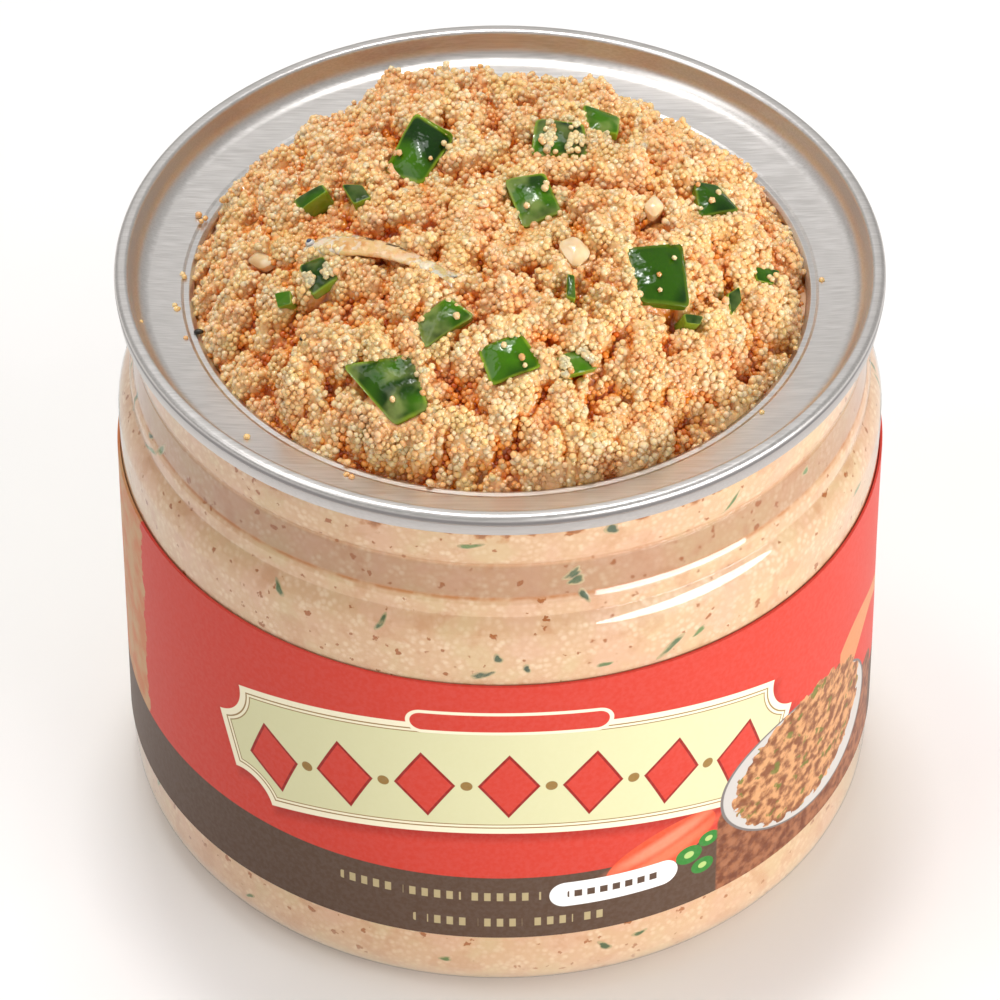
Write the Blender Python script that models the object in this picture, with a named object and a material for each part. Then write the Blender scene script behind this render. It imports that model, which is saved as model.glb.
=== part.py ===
"""Open clear jar of seasoned fish roe, heaped above its metal rim.

The jar stands on the origin with +Z up. The front of the label faces -Y.
"""
import math
from dataclasses import dataclass

import bmesh
import bpy
import numpy as np
from mathutils import Matrix, Vector

MM = 0.001

# Driving dimensions
SEAM_RADIUS = 38.1 * MM        # a three inch end measured over its seam
RIM_HEIGHT = 65.5 * MM         # top of the seam above the table
BODY_RADIUS = 38.3 * MM        # straight wall of the clear jar
WALL = 0.45 * MM               # wall of the clear jar
GAP = 0.3 * MM                 # clearance kept between pieces that touch
TURN_STEPS = 48                # facets round every turned piece

# Clear jar
NECK_RADIUS = 36.5 * MM
NECK_TOP = RIM_HEIGHT - 3.1 * MM
NECK_FOOT = 58.2 * MM
GROOVE_RADIUS = 36.3 * MM
GROOVE_TOP = 57.7 * MM
SHOULDER_RADIUS = 36.8 * MM
SHOULDER_TOP = 53.7 * MM
SHOULDER_DROP = 6.0 * MM
BASE_CORNER = 5.5 * MM
FOOT_RADIUS = 29.4 * MM
PUNT_RADIUS = 26.0 * MM
PUNT_RISE = 1.5 * MM
FLOOR = 0.6 * MM

# Metal ring: seam, chuck wall, flat panel and hemmed lip
SEAM_FOOT = NECK_TOP + GAP
BEAD_RADIUS = 0.6 * MM
CHUCK_TOP_RADIUS = 36.95 * MM
CHUCK_RADIUS = 35.75 * MM
SHEET = 0.28 * MM
PANEL_HEIGHT = RIM_HEIGHT - 3.15 * MM
PANEL_OUTER = 35.1 * MM
PANEL_INNER = 32.1 * MM
LIP_RADIUS = 30.7 * MM
LIP_WIDTH = 0.85 * MM
LIP_FOOT = PANEL_HEIGHT - 0.95 * MM

# Label
LABEL_FOOT = 9.4 * MM
LABEL_TOP = 44.0 * MM
LABEL_SHEET = 0.15 * MM

# Heap of roe
HEAP_RADIUS = LIP_RADIUS - GAP
HEAP_FOOT_RADIUS = 29.8 * MM   # where the slope of the heap meets the lip
HEAP_RISE = 12.0 * MM
HEAP_POWER = 3.6               # 2 is a dome, more is flatter with steeper sides
HEAP_EDGE = 0.5 * MM           # the roe just inside the lip lies this far below the panel
HEAP_CELLS = 46
CLUMP_SEED = 7
LARGE_CLUMPS = 170
SMALL_CLUMPS = 520
LARGE_SIZE = (1.5 * MM, 2.9 * MM)
SMALL_SIZE = (0.75 * MM, 1.35 * MM)
CREVICE = 1.1 * MM             # how deep the roe opens between its clumps
EGG_BUMP = 0.16 * MM
POCKET_MARGIN = 1.75 * MM      # how far round a topping the roe is pressed down
SWELLS = (                     # x, y, height and spread of the heap's own rises and dips, mm
    (-1.0, 22.0, 1.6, 6.0),
    (19.0, 17.0, -1.6, 7.0),
    (-20.0, 14.0, -0.6, 6.0),
    (26.0, 3.0, -1.0, 5.0),
)


@dataclass(frozen=True)
class Dice:
    """A flat piece cut from a pepper or onion.

    corners are its outline seen from above, anticlockwise, in millimetres. slope
    is its rise for each unit of x and y, and lift is how far the middle of its
    top stands over the heap.
    """

    name: str
    corners: tuple
    slope: tuple
    lift: float = 0.9
    thick: float = 1.5
    crown: float = 0.35


CHILLI = (
    Dice("chilli_01", ((-11.4, 3.8), (-7.6, 2.0), (-4.5, 7.3), (-8.4, 10.1)), (0.05, 0.35), 1.2),
    Dice("chilli_02", ((3.1, 5.5), (8.7, 5.8), (8.3, 9.8), (3.6, 9.9)), (-0.10, 0.25)),
    Dice("chilli_03", ((8.9, 10.4), (11.8, 10.4), (12.0, 13.0), (8.3, 13.9)), (-0.20, 0.10)),
    Dice("chilli_04", ((2.3, -5.2), (6.0, -3.4), (4.4, 0.9), (0.4, 0.1)), (0.0, 0.35)),
    Dice("chilli_05", ((19.8, 0.1), (23.8, 2.6), (21.7, 5.3), (19.3, 4.8)), (-0.35, 0.10)),
    Dice("chilli_06", ((13.8, -14.1), (18.5, -13.5), (17.9, -6.7), (12.3, -8.7)), (-0.30, 0.35), 1.0),
    Dice("chilli_07", ((25.2, -5.2), (26.9, -4.6), (27.7, -2.2), (25.0, -3.7)), (-0.70, 0.20), 0.8, 0.9, 0.1),
    Dice("chilli_08", ((-7.3, -20.2), (-2.5, -17.6), (-5.1, -15.4), (-8.1, -17.5)), (0.15, 0.45)),
    Dice("chilli_09", ((-0.8, -24.0), (4.1, -22.3), (2.0, -19.3), (-2.1, -20.8)), (0.0, 0.60), 1.1),
    Dice("chilli_10", ((-10.2, -26.1), (-6.9, -25.4), (-8.4, -20.4), (-15.3, -20.0)), (0.30, 0.65), 1.2),
    Dice("chilli_11", ((5.9, -22.7), (9.4, -21.5), (8.6, -19.7), (5.5, -20.8)), (-0.15, 0.60), 0.7),
    Dice("chilli_12", ((-18.4, -11.9), (-15.8, -10.8), (-17.3, -7.8), (-19.7, -8.1)), (0.40, 0.30), 0.8),
)
GARLIC = (
    Dice("garlic_1", ((7.2, -11.3), (9.1, -9.3), (7.4, -7.4), (5.5, -8.5)), (-0.10, 0.30), 0.9, 1.4, 0.4),
    Dice("garlic_2", ((15.1, -2.7), (16.3, -1.0), (15.2, 0.4), (14.0, -1.4)), (-0.20, 0.20), 0.9, 1.3, 0.4),
    Dice("garlic_3", ((-23.6, -5.3), (-22.1, -5.0), (-23.9, -2.6), (-25.2, -3.2)), (0.60, 0.20), 0.7, 1.2, 0.3),
)
# Chips of pepper too small to be pieces of their own, fused to the heap
CHIPS = (
    Dice("chip_1", ((22.5, -11.7), (23.6, -9.6), (23.4, -8.1), (22.2, -9.5)), (-0.60, 0.35), 0.9, 1.2, 0.1),
    Dice("chip_2", ((18.0, -14.9), (19.4, -14.5), (19.8, -13.4), (17.8, -14.0)), (-0.50, 0.35), 0.9, 1.2, 0.1),
    Dice("chip_3", ((-19.6, -0.4), (-17.0, 0.9), (-17.5, 2.1), (-20.4, 1.2)), (0.45, 0.15), 0.9, 1.2, 0.1),
    Dice("chip_4", ((-14.3, -1.8), (-12.6, -1.3), (-13.5, 0.6), (-15.6, 1.2)), (0.25, 0.15), 0.9, 1.2, 0.1),
    Dice("chip_5", ((-21.6, -11.6), (-20.3, -11.8), (-20.4, -10.3), (-22.0, -9.9)), (0.55, 0.40), 0.9, 1.2, 0.1),
    Dice("chip_6", ((6.4, -15.2), (7.3, -15.4), (7.2, -12.9), (6.5, -12.8)), (-0.10, 0.40), 0.9, 1.2, 0.1),
)
CHIP_DEPTH = 1.2 * MM          # how far a fused chip reaches below the heap's surface

# Small dried fish on the heap: its backbone is a curve through three points, mm
FISH_SPINE = ((-19.7, -5.9), (-12.0, -7.1), (-4.6, -12.9))
FISH_HALF_WIDTH = 1.25 * MM
FISH_HALF_THICK = 0.75 * MM
FISH_LIFT = 0.75 * MM
FISH_STATIONS = 13
FISH_SIDES = 8


def clear_scene():
    """Remove every object that the file opened with."""
    for obj in list(bpy.data.objects):
        bpy.data.objects.remove(obj, do_unlink=True)


def make_material(name, colour, roughness, metallic=0.0, transmission=0.0):
    """Return a Principled material."""
    material = bpy.data.materials.new(name)
    material.use_nodes = True
    shader = material.node_tree.nodes["Principled BSDF"]
    shader.inputs["Base Color"].default_value = (*colour, 1.0)
    shader.inputs["Roughness"].default_value = roughness
    shader.inputs["Metallic"].default_value = metallic
    shader.inputs["Transmission Weight"].default_value = transmission
    return material


def make_object(name, bm, material, sharp_angle=40.0):
    """Turn a bmesh into a smooth shaded object and link it to the scene."""
    bmesh.ops.recalc_face_normals(bm, faces=bm.faces)
    mesh = bpy.data.meshes.new(name)
    bm.to_mesh(mesh)
    bm.free()
    mesh.shade_smooth()
    mesh.set_sharp_from_angle(angle=math.radians(sharp_angle))
    mesh.materials.append(material)
    obj = bpy.data.objects.new(name, mesh)
    bpy.context.scene.collection.objects.link(obj)
    return obj


def arc(centre_r, centre_z, size_r, size_z, start, end, steps):
    """Points along an ellipse's arc, angles in degrees from +r towards +z."""
    angles = np.radians(np.linspace(start, end, steps + 1))
    return [(centre_r + size_r * math.cos(a), centre_z + size_z * math.sin(a)) for a in angles]


def turned(name, profile, material):
    """Spin a profile of (radius, height) points round Z into a closed solid.

    A profile that ends on the axis closes there, and any other is a loop.
    """
    bm = bmesh.new()
    verts = [bm.verts.new((r, 0.0, z)) for r, z in profile]
    edges = [bm.edges.new(pair) for pair in zip(verts, verts[1:])]
    if profile[0][0] > 0.0:
        edges.append(bm.edges.new((verts[-1], verts[0])))
    bmesh.ops.spin(bm, geom=verts + edges, cent=(0, 0, 0), axis=(0, 0, 1),
                   angle=2 * math.pi, steps=TURN_STEPS, use_merge=True)
    bmesh.ops.remove_doubles(bm, verts=bm.verts, dist=0.001 * MM)
    return make_object(name, bm, material)


def shoulder(inset, steps):
    """The jar's round shoulder, from the straight wall up to the groove."""
    width = BODY_RADIUS - SHOULDER_RADIUS
    return arc(SHOULDER_RADIUS - inset, SHOULDER_TOP - SHOULDER_DROP, width, SHOULDER_DROP, 0, 90, steps)


def build_jar():
    """The clear jar: a cup with a pushed-up base, a shoulder, a groove and a neck."""
    corner_r = BODY_RADIUS - BASE_CORNER
    outer = [(0.0, PUNT_RISE), (PUNT_RADIUS, PUNT_RISE - 0.4 * MM), (FOOT_RADIUS, 0.0)]
    outer += arc(corner_r, BASE_CORNER, BASE_CORNER, BASE_CORNER, -90, 0, 3)
    outer += shoulder(0.0, 3)
    outer += [(GROOVE_RADIUS, GROOVE_TOP), (NECK_RADIUS, NECK_FOOT), (NECK_RADIUS, NECK_TOP)]
    inner = [(0.0, PUNT_RISE + FLOOR), (PUNT_RADIUS, PUNT_RISE - 0.4 * MM + FLOOR), (FOOT_RADIUS, FLOOR)]
    inner += arc(corner_r, BASE_CORNER + 0.1 * MM, BASE_CORNER - WALL, BASE_CORNER - FLOOR + 0.1 * MM, -90, 0, 3)
    inner += shoulder(WALL, 3)
    inner += [(GROOVE_RADIUS - WALL, GROOVE_TOP), (NECK_RADIUS - WALL, NECK_FOOT), (NECK_RADIUS - WALL, NECK_TOP)]
    clear = make_material("clear_plastic", (0.93, 0.95, 0.95), 0.06, transmission=0.95)
    return turned("jar", outer + inner[::-1], clear)


def build_ring():
    """The metal ring left by the opened end: seam, chuck wall, flat panel and hemmed lip."""
    bead = arc(SEAM_RADIUS - BEAD_RADIUS, RIM_HEIGHT - BEAD_RADIUS, BEAD_RADIUS, BEAD_RADIUS, 0, 150, 3)
    lip_r = LIP_RADIUS + LIP_WIDTH / 2
    lip_z = (PANEL_HEIGHT + 0.15 * MM + LIP_FOOT) / 2
    lip = arc(lip_r, lip_z, LIP_WIDTH / 2, PANEL_HEIGHT + 0.15 * MM - lip_z, 60, 285, 5)
    profile = [(CHUCK_RADIUS, SEAM_FOOT), (SEAM_RADIUS, SEAM_FOOT)]
    profile += bead
    profile += [(CHUCK_TOP_RADIUS, RIM_HEIGHT - 0.6 * MM), (CHUCK_RADIUS - SHEET, PANEL_HEIGHT + 0.45 * MM),
                (PANEL_OUTER, PANEL_HEIGHT), (PANEL_INNER, PANEL_HEIGHT),
                (PANEL_INNER - 0.35 * MM, PANEL_HEIGHT - 0.3 * MM)]
    profile += lip
    profile += [(PANEL_INNER, PANEL_HEIGHT - 0.3 * MM - SHEET), (PANEL_INNER + 0.3 * MM, PANEL_HEIGHT - SHEET),
                (PANEL_OUTER + 0.1 * MM, PANEL_HEIGHT - SHEET), (CHUCK_RADIUS, PANEL_HEIGHT + 0.15 * MM)]
    return turned("rim_ring", profile, make_material("metal", (0.75, 0.74, 0.72), 0.3, metallic=1.0))


def build_label():
    """The wrapped label, a thin sleeve round the straight wall."""
    inside = BODY_RADIUS + GAP
    outside = inside + LABEL_SHEET
    profile = [(inside, LABEL_FOOT), (outside, LABEL_FOOT), (outside, LABEL_TOP), (inside, LABEL_TOP)]
    return turned("label", profile, make_material("label_print", (0.80, 0.10, 0.08), 0.35))


def heap_base(x, y):
    """Height of the heap without its clumps: a flattened dome with a few rises and dips."""
    r = np.minimum(np.hypot(x, y) / HEAP_FOOT_RADIUS, 1.0)
    z = PANEL_HEIGHT - HEAP_EDGE + (HEAP_RISE + HEAP_EDGE) * (1.0 - r ** HEAP_POWER)
    fade = 1.0 - r ** 6
    for at_x, at_y, rise, spread in SWELLS:
        near = ((x - at_x * MM) ** 2 + (y - at_y * MM) ** 2) / (spread * MM) ** 2
        z = z + rise * MM * fade * np.exp(-near)
    return z


def clump_spots(count, rng):
    """Centres spread evenly over the opening in a sunflower spiral, each shifted a little."""
    index = np.arange(count) + 0.5
    radius = HEAP_RADIUS * np.sqrt(index / count)
    angle = index * math.pi * (3.0 - math.sqrt(5.0))
    shift = 0.25 * HEAP_RADIUS * math.sqrt(math.pi / count)
    return (radius * np.cos(angle) + rng.uniform(-shift, shift, count),
            radius * np.sin(angle) + rng.uniform(-shift, shift, count))


def add_clumps(x, y, z, spots, sizes, heights):
    """Raise a surface to the tops of round clumps, each a ball with the given centre height."""
    for at_x, at_y, size, height in zip(*spots, sizes, heights):
        inside = size ** 2 - (x - at_x) ** 2 - (y - at_y) ** 2
        z = np.where(inside > 0.0, np.maximum(z, height + np.sqrt(np.maximum(inside, 0.0))), z)
    return z


def heap_surface(x, y):
    """Height of the heap with its large clumps and the small ones on them."""
    rng = np.random.default_rng(CLUMP_SEED)
    large = clump_spots(LARGE_CLUMPS, rng)
    large_size = rng.uniform(*LARGE_SIZE, LARGE_CLUMPS)
    large_height = heap_base(*large) - 0.85 * large_size + rng.uniform(-0.6, 0.6, LARGE_CLUMPS) * MM
    small = clump_spots(SMALL_CLUMPS, rng)
    small_size = rng.uniform(*SMALL_SIZE, SMALL_CLUMPS)
    floor = heap_base(*small) - CREVICE
    small_height = add_clumps(*small, floor, large, large_size, large_height) - 0.45 * small_size
    z = add_clumps(x, y, heap_base(x, y) - CREVICE, large, large_size, large_height)
    return add_clumps(x, y, z, small, small_size, small_height)


def distance_to_outline(x, y, corners):
    """How far points lie outside a convex outline, negative inside it, in metres."""
    far = np.full_like(x, -1.0)
    for (ax, ay), (bx, by) in zip(corners, corners[1:] + corners[:1]):
        along = math.hypot(bx - ax, by - ay)
        out = ((by - ay) * (x - ax * MM) - (bx - ax) * (y - ay * MM)) / along
        far = np.maximum(far, out)
    return far


def piece_middle(piece):
    """Middle of a piece's top, standing its lift over the heap."""
    x, y = np.mean(piece.corners, axis=0) * MM
    return float(x), float(y), float(heap_base(x, y)) + piece.lift * MM


def press_under_piece(x, y, z, piece):
    """Lower the heap under a flat piece and its margin, so that it stays clear of it."""
    mid_x, mid_y, mid_z = piece_middle(piece)
    tilt = math.sqrt(1.0 + piece.slope[0] ** 2 + piece.slope[1] ** 2)
    below = (piece.thick * MM + GAP + 0.1 * MM) * tilt
    limit = mid_z - below + piece.slope[0] * (x - mid_x) + piece.slope[1] * (y - mid_y)
    near = distance_to_outline(x, y, piece.corners) < POCKET_MARGIN
    return np.where(near, np.minimum(z, limit), z)


def fish_spine(s):
    """Backbone of the fish from snout (s = 0) to tail (s = 1), lying on the heap."""
    start, middle, end = (np.array(p) * MM for p in FISH_SPINE)
    s = np.asarray(s, dtype=float)[..., None]
    plan = (1 - s) ** 2 * start + 2 * s * (1 - s) * middle + s ** 2 * end
    return plan[..., 0], plan[..., 1], heap_base(plan[..., 0], plan[..., 1]) + FISH_LIFT


def fish_fullness(s):
    """Share of the full body size along the fish: round head, slim tail, small fin."""
    body = np.sqrt(np.clip(s / 0.16, 0.0, 1.0)) * np.clip(1.25 - 1.05 * s, 0.0, 1.0)
    fin = 0.75 * np.clip((s - 0.86) / 0.14, 0.0, 1.0)
    return np.maximum(np.maximum(body, fin), 0.16)


def press_under_fish(x, y, z):
    """Lower the heap under the fish."""
    for s in np.linspace(0.0, 1.0, 4 * FISH_STATIONS):
        at_x, at_y, at_z = fish_spine(s)
        near = np.hypot(x - at_x, y - at_y) < FISH_HALF_WIDTH + POCKET_MARGIN
        z = np.where(near, np.minimum(z, at_z - FISH_HALF_THICK - 1.5 * GAP), z)
    return z


def rounded_outline(corners, rounding=0.22):
    """Points round an outline with every corner cut to a short curve of three points."""
    points = []
    count = len(corners)
    for i in range(count):
        before, here, after = (Vector(corners[(i + k) % count]) for k in (-1, 0, 1))
        start = here.lerp(before, rounding)
        end = here.lerp(after, rounding)
        points += [start, (start + end + 2 * here) / 4, end]
    return points


def dice_bmesh(piece, extra_depth=0.0):
    """A flat piece with softened edges and a crowned top, in its own frame.

    Rings of the outline are stacked: inset foot, full sides, inset top, and a
    smaller ring that carries the crown. Returns the bmesh and its world matrix.
    """
    mid_x, mid_y, mid_z = piece_middle(piece)
    along = Vector((1.0, 0.0, piece.slope[0])).normalized()
    up = Vector((-piece.slope[0], -piece.slope[1], 1.0)).normalized()
    across = up.cross(along)
    frame = Matrix((along, across, up)).transposed().to_4x4()
    frame.translation = Vector((mid_x, mid_y, mid_z))
    flat = []
    for x, y in piece.corners:
        dx, dy = x * MM - mid_x, y * MM - mid_y
        point = Vector((dx, dy, piece.slope[0] * dx + piece.slope[1] * dy))
        flat.append((point.dot(along), point.dot(across)))
    outline = rounded_outline(flat)
    thick = piece.thick * MM + extra_depth
    crown = piece.crown * MM
    soft = 0.22 * MM
    layers = ((0.90, -thick), (1.0, -thick + soft), (1.0, -crown - soft), (0.92, -crown), (0.5, -0.25 * crown))
    bm = bmesh.new()
    rings = [[bm.verts.new((p.x * k, p.y * k, h)) for p in outline] for k, h in layers]
    for lower, upper in zip(rings, rings[1:]):
        for i in range(len(outline)):
            j = (i + 1) % len(outline)
            bm.faces.new((lower[i], lower[j], upper[j], upper[i]))
    bm.faces.new(rings[0][::-1])
    bm.faces.new(rings[-1])
    return bm, frame


def build_dice(piece, material):
    """One loose piece of pepper or onion, placed on the heap."""
    bm, frame = dice_bmesh(piece)
    obj = make_object(piece.name, bm, material, sharp_angle=50.0)
    obj.matrix_world = frame
    return obj


def build_fish():
    """The dried fish: oval sections along its backbone, closed at snout and tail."""
    stations = np.linspace(0.0, 1.0, FISH_STATIONS)
    spine = np.stack(fish_spine(stations), axis=-1)
    forward = np.gradient(spine, axis=0)
    side = np.cross(forward, (0.0, 0.0, 1.0))
    side /= np.linalg.norm(side, axis=1, keepdims=True)
    up = np.cross(side, forward)
    up /= np.linalg.norm(up, axis=1, keepdims=True)
    full = fish_fullness(stations)
    thin = np.where(stations > 0.86, 0.16, np.maximum(full, 0.2))
    bm = bmesh.new()
    rings = []
    for i in range(FISH_STATIONS):
        ring = []
        for angle in np.arange(FISH_SIDES) * 2 * math.pi / FISH_SIDES:
            offset = (side[i] * FISH_HALF_WIDTH * full[i] * math.cos(angle)
                      + up[i] * FISH_HALF_THICK * thin[i] * math.sin(angle))
            ring.append(bm.verts.new(spine[i] + offset))
        rings.append(ring)
    for lower, upper in zip(rings, rings[1:]):
        for i in range(FISH_SIDES):
            j = (i + 1) % FISH_SIDES
            bm.faces.new((lower[i], lower[j], upper[j], upper[i]))
    bm.faces.new(rings[0])
    bm.faces.new(rings[-1][::-1])
    return make_object("dried_fish", bm, make_material("fish_skin", (0.62, 0.42, 0.20), 0.4))


def square_to_disc(a, b):
    """Map a square of side 2 to the unit disc, keeping the rim's points evenly spaced."""
    wide = np.abs(a) >= np.abs(b)
    radius = np.where(wide, a, b)
    safe = np.where(radius == 0.0, 1.0, radius)
    angle = np.where(wide, math.pi / 4 * b / safe, math.pi / 2 - math.pi / 4 * a / safe)
    return radius * np.cos(angle), radius * np.sin(angle)


def build_mound(material):
    """The heap above the opening: a grid drawn into a disc, raised to the clumps and closed below."""
    bm = bmesh.new()
    bmesh.ops.create_grid(bm, x_segments=HEAP_CELLS, y_segments=HEAP_CELLS, size=1.0)
    flat = np.array([v.co[:] for v in bm.verts])
    x, y = square_to_disc(flat[:, 0], flat[:, 1])
    x, y = x * HEAP_RADIUS, y * HEAP_RADIUS
    rng = np.random.default_rng(CLUMP_SEED + 1)
    z = heap_surface(x, y) + rng.uniform(-EGG_BUMP, EGG_BUMP, len(x))
    rim = np.hypot(x, y) > HEAP_RADIUS - 0.05 * MM
    z = np.where(rim, np.minimum(z, PANEL_HEIGHT - HEAP_EDGE), z)
    for piece in CHILLI + GARLIC:
        z = press_under_piece(x, y, z, piece)
    z = press_under_fish(x, y, z)
    for vert, point in zip(bm.verts, np.stack((x, y, z), axis=-1)):
        vert.co = point
    rim_edges = [edge for edge in bm.edges if edge.is_boundary]
    skirt = bmesh.ops.extrude_edge_only(bm, edges=rim_edges)["geom"]
    for vert in (item for item in skirt if isinstance(item, bmesh.types.BMVert)):
        vert.co.z = LIP_FOOT - 2.0 * MM
    bmesh.ops.holes_fill(bm, edges=[edge for edge in bm.edges if edge.is_boundary])
    return make_object("heap", bm, material)


def build_column(material):
    """The roe inside the jar, a little clear of its wall, floor and metal ring."""
    inset = WALL + GAP
    floor = FLOOR + GAP
    corner_r = BODY_RADIUS - BASE_CORNER
    under_panel = PANEL_HEIGHT - SHEET - GAP
    profile = [(0.0, PUNT_RISE + floor), (PUNT_RADIUS, PUNT_RISE - 0.4 * MM + floor), (FOOT_RADIUS, floor)]
    profile += arc(corner_r, BASE_CORNER + 0.1 * MM, BASE_CORNER - inset, BASE_CORNER - floor + 0.1 * MM, -90, 0, 3)
    profile += shoulder(inset, 3)
    profile += [(GROOVE_RADIUS - inset, GROOVE_TOP), (NECK_RADIUS - inset, NECK_FOOT),
                (CHUCK_RADIUS - 0.2 * MM, under_panel - 0.1 * MM), (PANEL_OUTER, under_panel),
                (PANEL_INNER + 0.4 * MM, under_panel), (PANEL_INNER, LIP_FOOT - GAP), (0.0, LIP_FOOT - GAP)]
    return turned("column", profile, material)


def fuse(base, extras, name):
    """Join pieces into one solid with one union, then remove the loose originals."""
    group = bpy.data.collections.new("fused")
    for extra in extras:
        group.objects.link(extra)
    union = base.modifiers.new("union", "BOOLEAN")
    union.operation = "UNION"
    union.operand_type = "COLLECTION"
    union.collection = group
    depsgraph = bpy.context.evaluated_depsgraph_get()
    mesh = bpy.data.meshes.new_from_object(base.evaluated_get(depsgraph))
    base.modifiers.clear()
    base.data = mesh
    for extra in extras:
        bpy.data.objects.remove(extra, do_unlink=True)
    bpy.data.collections.remove(group)
    base.name = name
    mesh.name = name
    return base


def build_roe():
    """All the roe as one solid: the column in the jar, the heap and the chips fused to it."""
    material = make_material("roe", (0.88, 0.66, 0.42), 0.45)
    column = build_column(material)
    extras = [build_mound(material)]
    for chip in CHIPS:
        bm, frame = dice_bmesh(chip, CHIP_DEPTH)
        extra = make_object(chip.name, bm, material)
        extra.matrix_world = frame
        extras.append(extra)
    return fuse(column, extras, "roe")


def main():
    """Build every piece."""
    clear_scene()
    build_jar()
    build_ring()
    build_label()
    build_roe()
    green = make_material("pepper", (0.03, 0.16, 0.02), 0.15)
    cream = make_material("garlic", (0.85, 0.72, 0.45), 0.3)
    for piece in CHILLI:
        build_dice(piece, green)
    for piece in GARLIC:
        build_dice(piece, cream)
    build_fish()


main()
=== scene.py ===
"""Open clear jar of seasoned fish roe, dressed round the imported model.

Sizes inside the classes are in millimetres and become metres in make_piece. The jar stands on
the origin with +Z up, and the front of its label faces -Y.
"""
import logging
import math
from dataclasses import dataclass
from enum import Enum
from typing import Callable, NamedTuple, Optional, Union

import bpy
import numpy as np
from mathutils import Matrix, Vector


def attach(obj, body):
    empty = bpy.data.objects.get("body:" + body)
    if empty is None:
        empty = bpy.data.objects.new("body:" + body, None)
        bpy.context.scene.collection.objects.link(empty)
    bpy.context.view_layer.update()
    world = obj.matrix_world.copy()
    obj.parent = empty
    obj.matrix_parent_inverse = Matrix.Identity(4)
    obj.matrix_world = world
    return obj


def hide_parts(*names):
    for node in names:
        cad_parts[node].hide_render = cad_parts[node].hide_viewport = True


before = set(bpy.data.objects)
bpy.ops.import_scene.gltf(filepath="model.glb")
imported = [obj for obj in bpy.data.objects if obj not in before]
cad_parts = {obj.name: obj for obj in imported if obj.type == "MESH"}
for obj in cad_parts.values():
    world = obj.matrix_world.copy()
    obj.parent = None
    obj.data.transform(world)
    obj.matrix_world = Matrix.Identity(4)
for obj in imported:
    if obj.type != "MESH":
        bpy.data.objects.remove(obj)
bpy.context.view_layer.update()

log = logging.getLogger("roe_jar")
logging.basicConfig(level=logging.INFO, format="%(name)s: %(message)s")

MM = 0.001
BODY = "root"
GOLDEN_ANGLE = math.pi * (3.0 - math.sqrt(5.0))
PANEL = 62.35                      # height of the ring's flat panel
STRAIGHT = 1.55                    # half angle in radians past which a corner is not rounded


class Slot(Enum):
    """The record's material slots."""

    CLEAR = "clear_plastic"
    METAL = "metal"
    PRINT = "label_print"
    ROE = "roe"
    PEPPER = "pepper"
    GARLIC = "garlic"
    FISH = "fish_skin"


def srgb(red: float, green: float, blue: float) -> tuple:
    """Turn a screen colour into the linear colour that a shader takes.

    Args:
        red, green, blue: channels from 0 to 255.

    Returns:
        Linear red, green, blue and an alpha of 1.
    """
    share = np.array((red, green, blue)) / 255.0
    linear = np.where(share <= 0.04045, share / 12.92, ((share + 0.055) / 1.055) ** 2.4)
    return (*linear.tolist(), 1.0)


# Meshes

def unit(vectors: np.ndarray) -> np.ndarray:
    """Vectors along the last axis, each brought to a length of 1."""
    return vectors / np.linalg.norm(vectors, axis=-1, keepdims=True)


def held(values: np.ndarray) -> np.ndarray:
    """Values kept between 0 and 1."""
    return np.clip(values, 0.0, 1.0)


def bearings(count: int) -> np.ndarray:
    """Even angles round a circle, in radians."""
    return np.arange(count) * 2.0 * math.pi / count


def make_piece(name: str, points: np.ndarray, face_sets: list, material: bpy.types.Material,
               slot: Slot, replaced: tuple = (), sharp: float = 180.0,
               values: Optional[dict] = None) -> bpy.types.Object:
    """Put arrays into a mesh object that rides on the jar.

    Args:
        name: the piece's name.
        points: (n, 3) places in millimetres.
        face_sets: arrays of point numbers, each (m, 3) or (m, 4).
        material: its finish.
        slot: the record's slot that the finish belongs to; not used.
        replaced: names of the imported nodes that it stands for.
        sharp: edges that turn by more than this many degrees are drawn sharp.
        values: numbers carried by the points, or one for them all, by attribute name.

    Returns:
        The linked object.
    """
    mesh = bpy.data.meshes.new(name)
    corners = np.concatenate([np.asarray(faces).ravel() for faces in face_sets])
    sizes = np.concatenate([np.full(len(faces), np.shape(faces)[1]) for faces in face_sets])
    starts = np.concatenate(([0], np.cumsum(sizes)[:-1]))
    mesh.vertices.add(len(points))
    mesh.vertices.foreach_set("co", (points * MM).astype(np.float32).ravel())
    mesh.loops.add(len(corners))
    mesh.loops.foreach_set("vertex_index", corners.astype(np.int32))
    mesh.polygons.add(len(sizes))
    mesh.polygons.foreach_set("loop_start", starts.astype(np.int32))
    mesh.update(calc_edges=True)
    mesh.shade_smooth()
    if sharp < 180.0:
        mesh.set_sharp_from_angle(angle=math.radians(sharp))
    for key, numbers in (values or {}).items():
        attribute = mesh.attributes.new(key, "FLOAT", "POINT")
        attribute.data.foreach_set("value", np.full(len(points), numbers, np.float32))
    mesh.materials.append(material)
    piece = bpy.data.objects.new(name, mesh)
    bpy.context.scene.collection.objects.link(piece)
    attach(piece, BODY)
    if replaced:
        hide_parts(*replaced)
    log.info("%s: %d points, %d faces", name, len(points), len(sizes))
    return piece


def grid_faces(rows: int, columns: int, wrap: bool = True) -> np.ndarray:
    """Quads between neighbouring points of a grid whose points are numbered row by row.

    Args:
        rows: number of rows.
        columns: points in each row.
        wrap: whether each row closes on itself.

    Returns:
        (m, 4) point numbers, anticlockwise where rows go up and columns go left to right.
    """
    index = np.arange(rows * columns).reshape(rows, columns)
    if wrap:
        index = np.concatenate((index, index[:, :1]), axis=1)
    quads = (index[:-1, :-1], index[:-1, 1:], index[1:, 1:], index[1:, :-1])
    return np.stack(quads, axis=-1).reshape(-1, 4)


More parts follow.
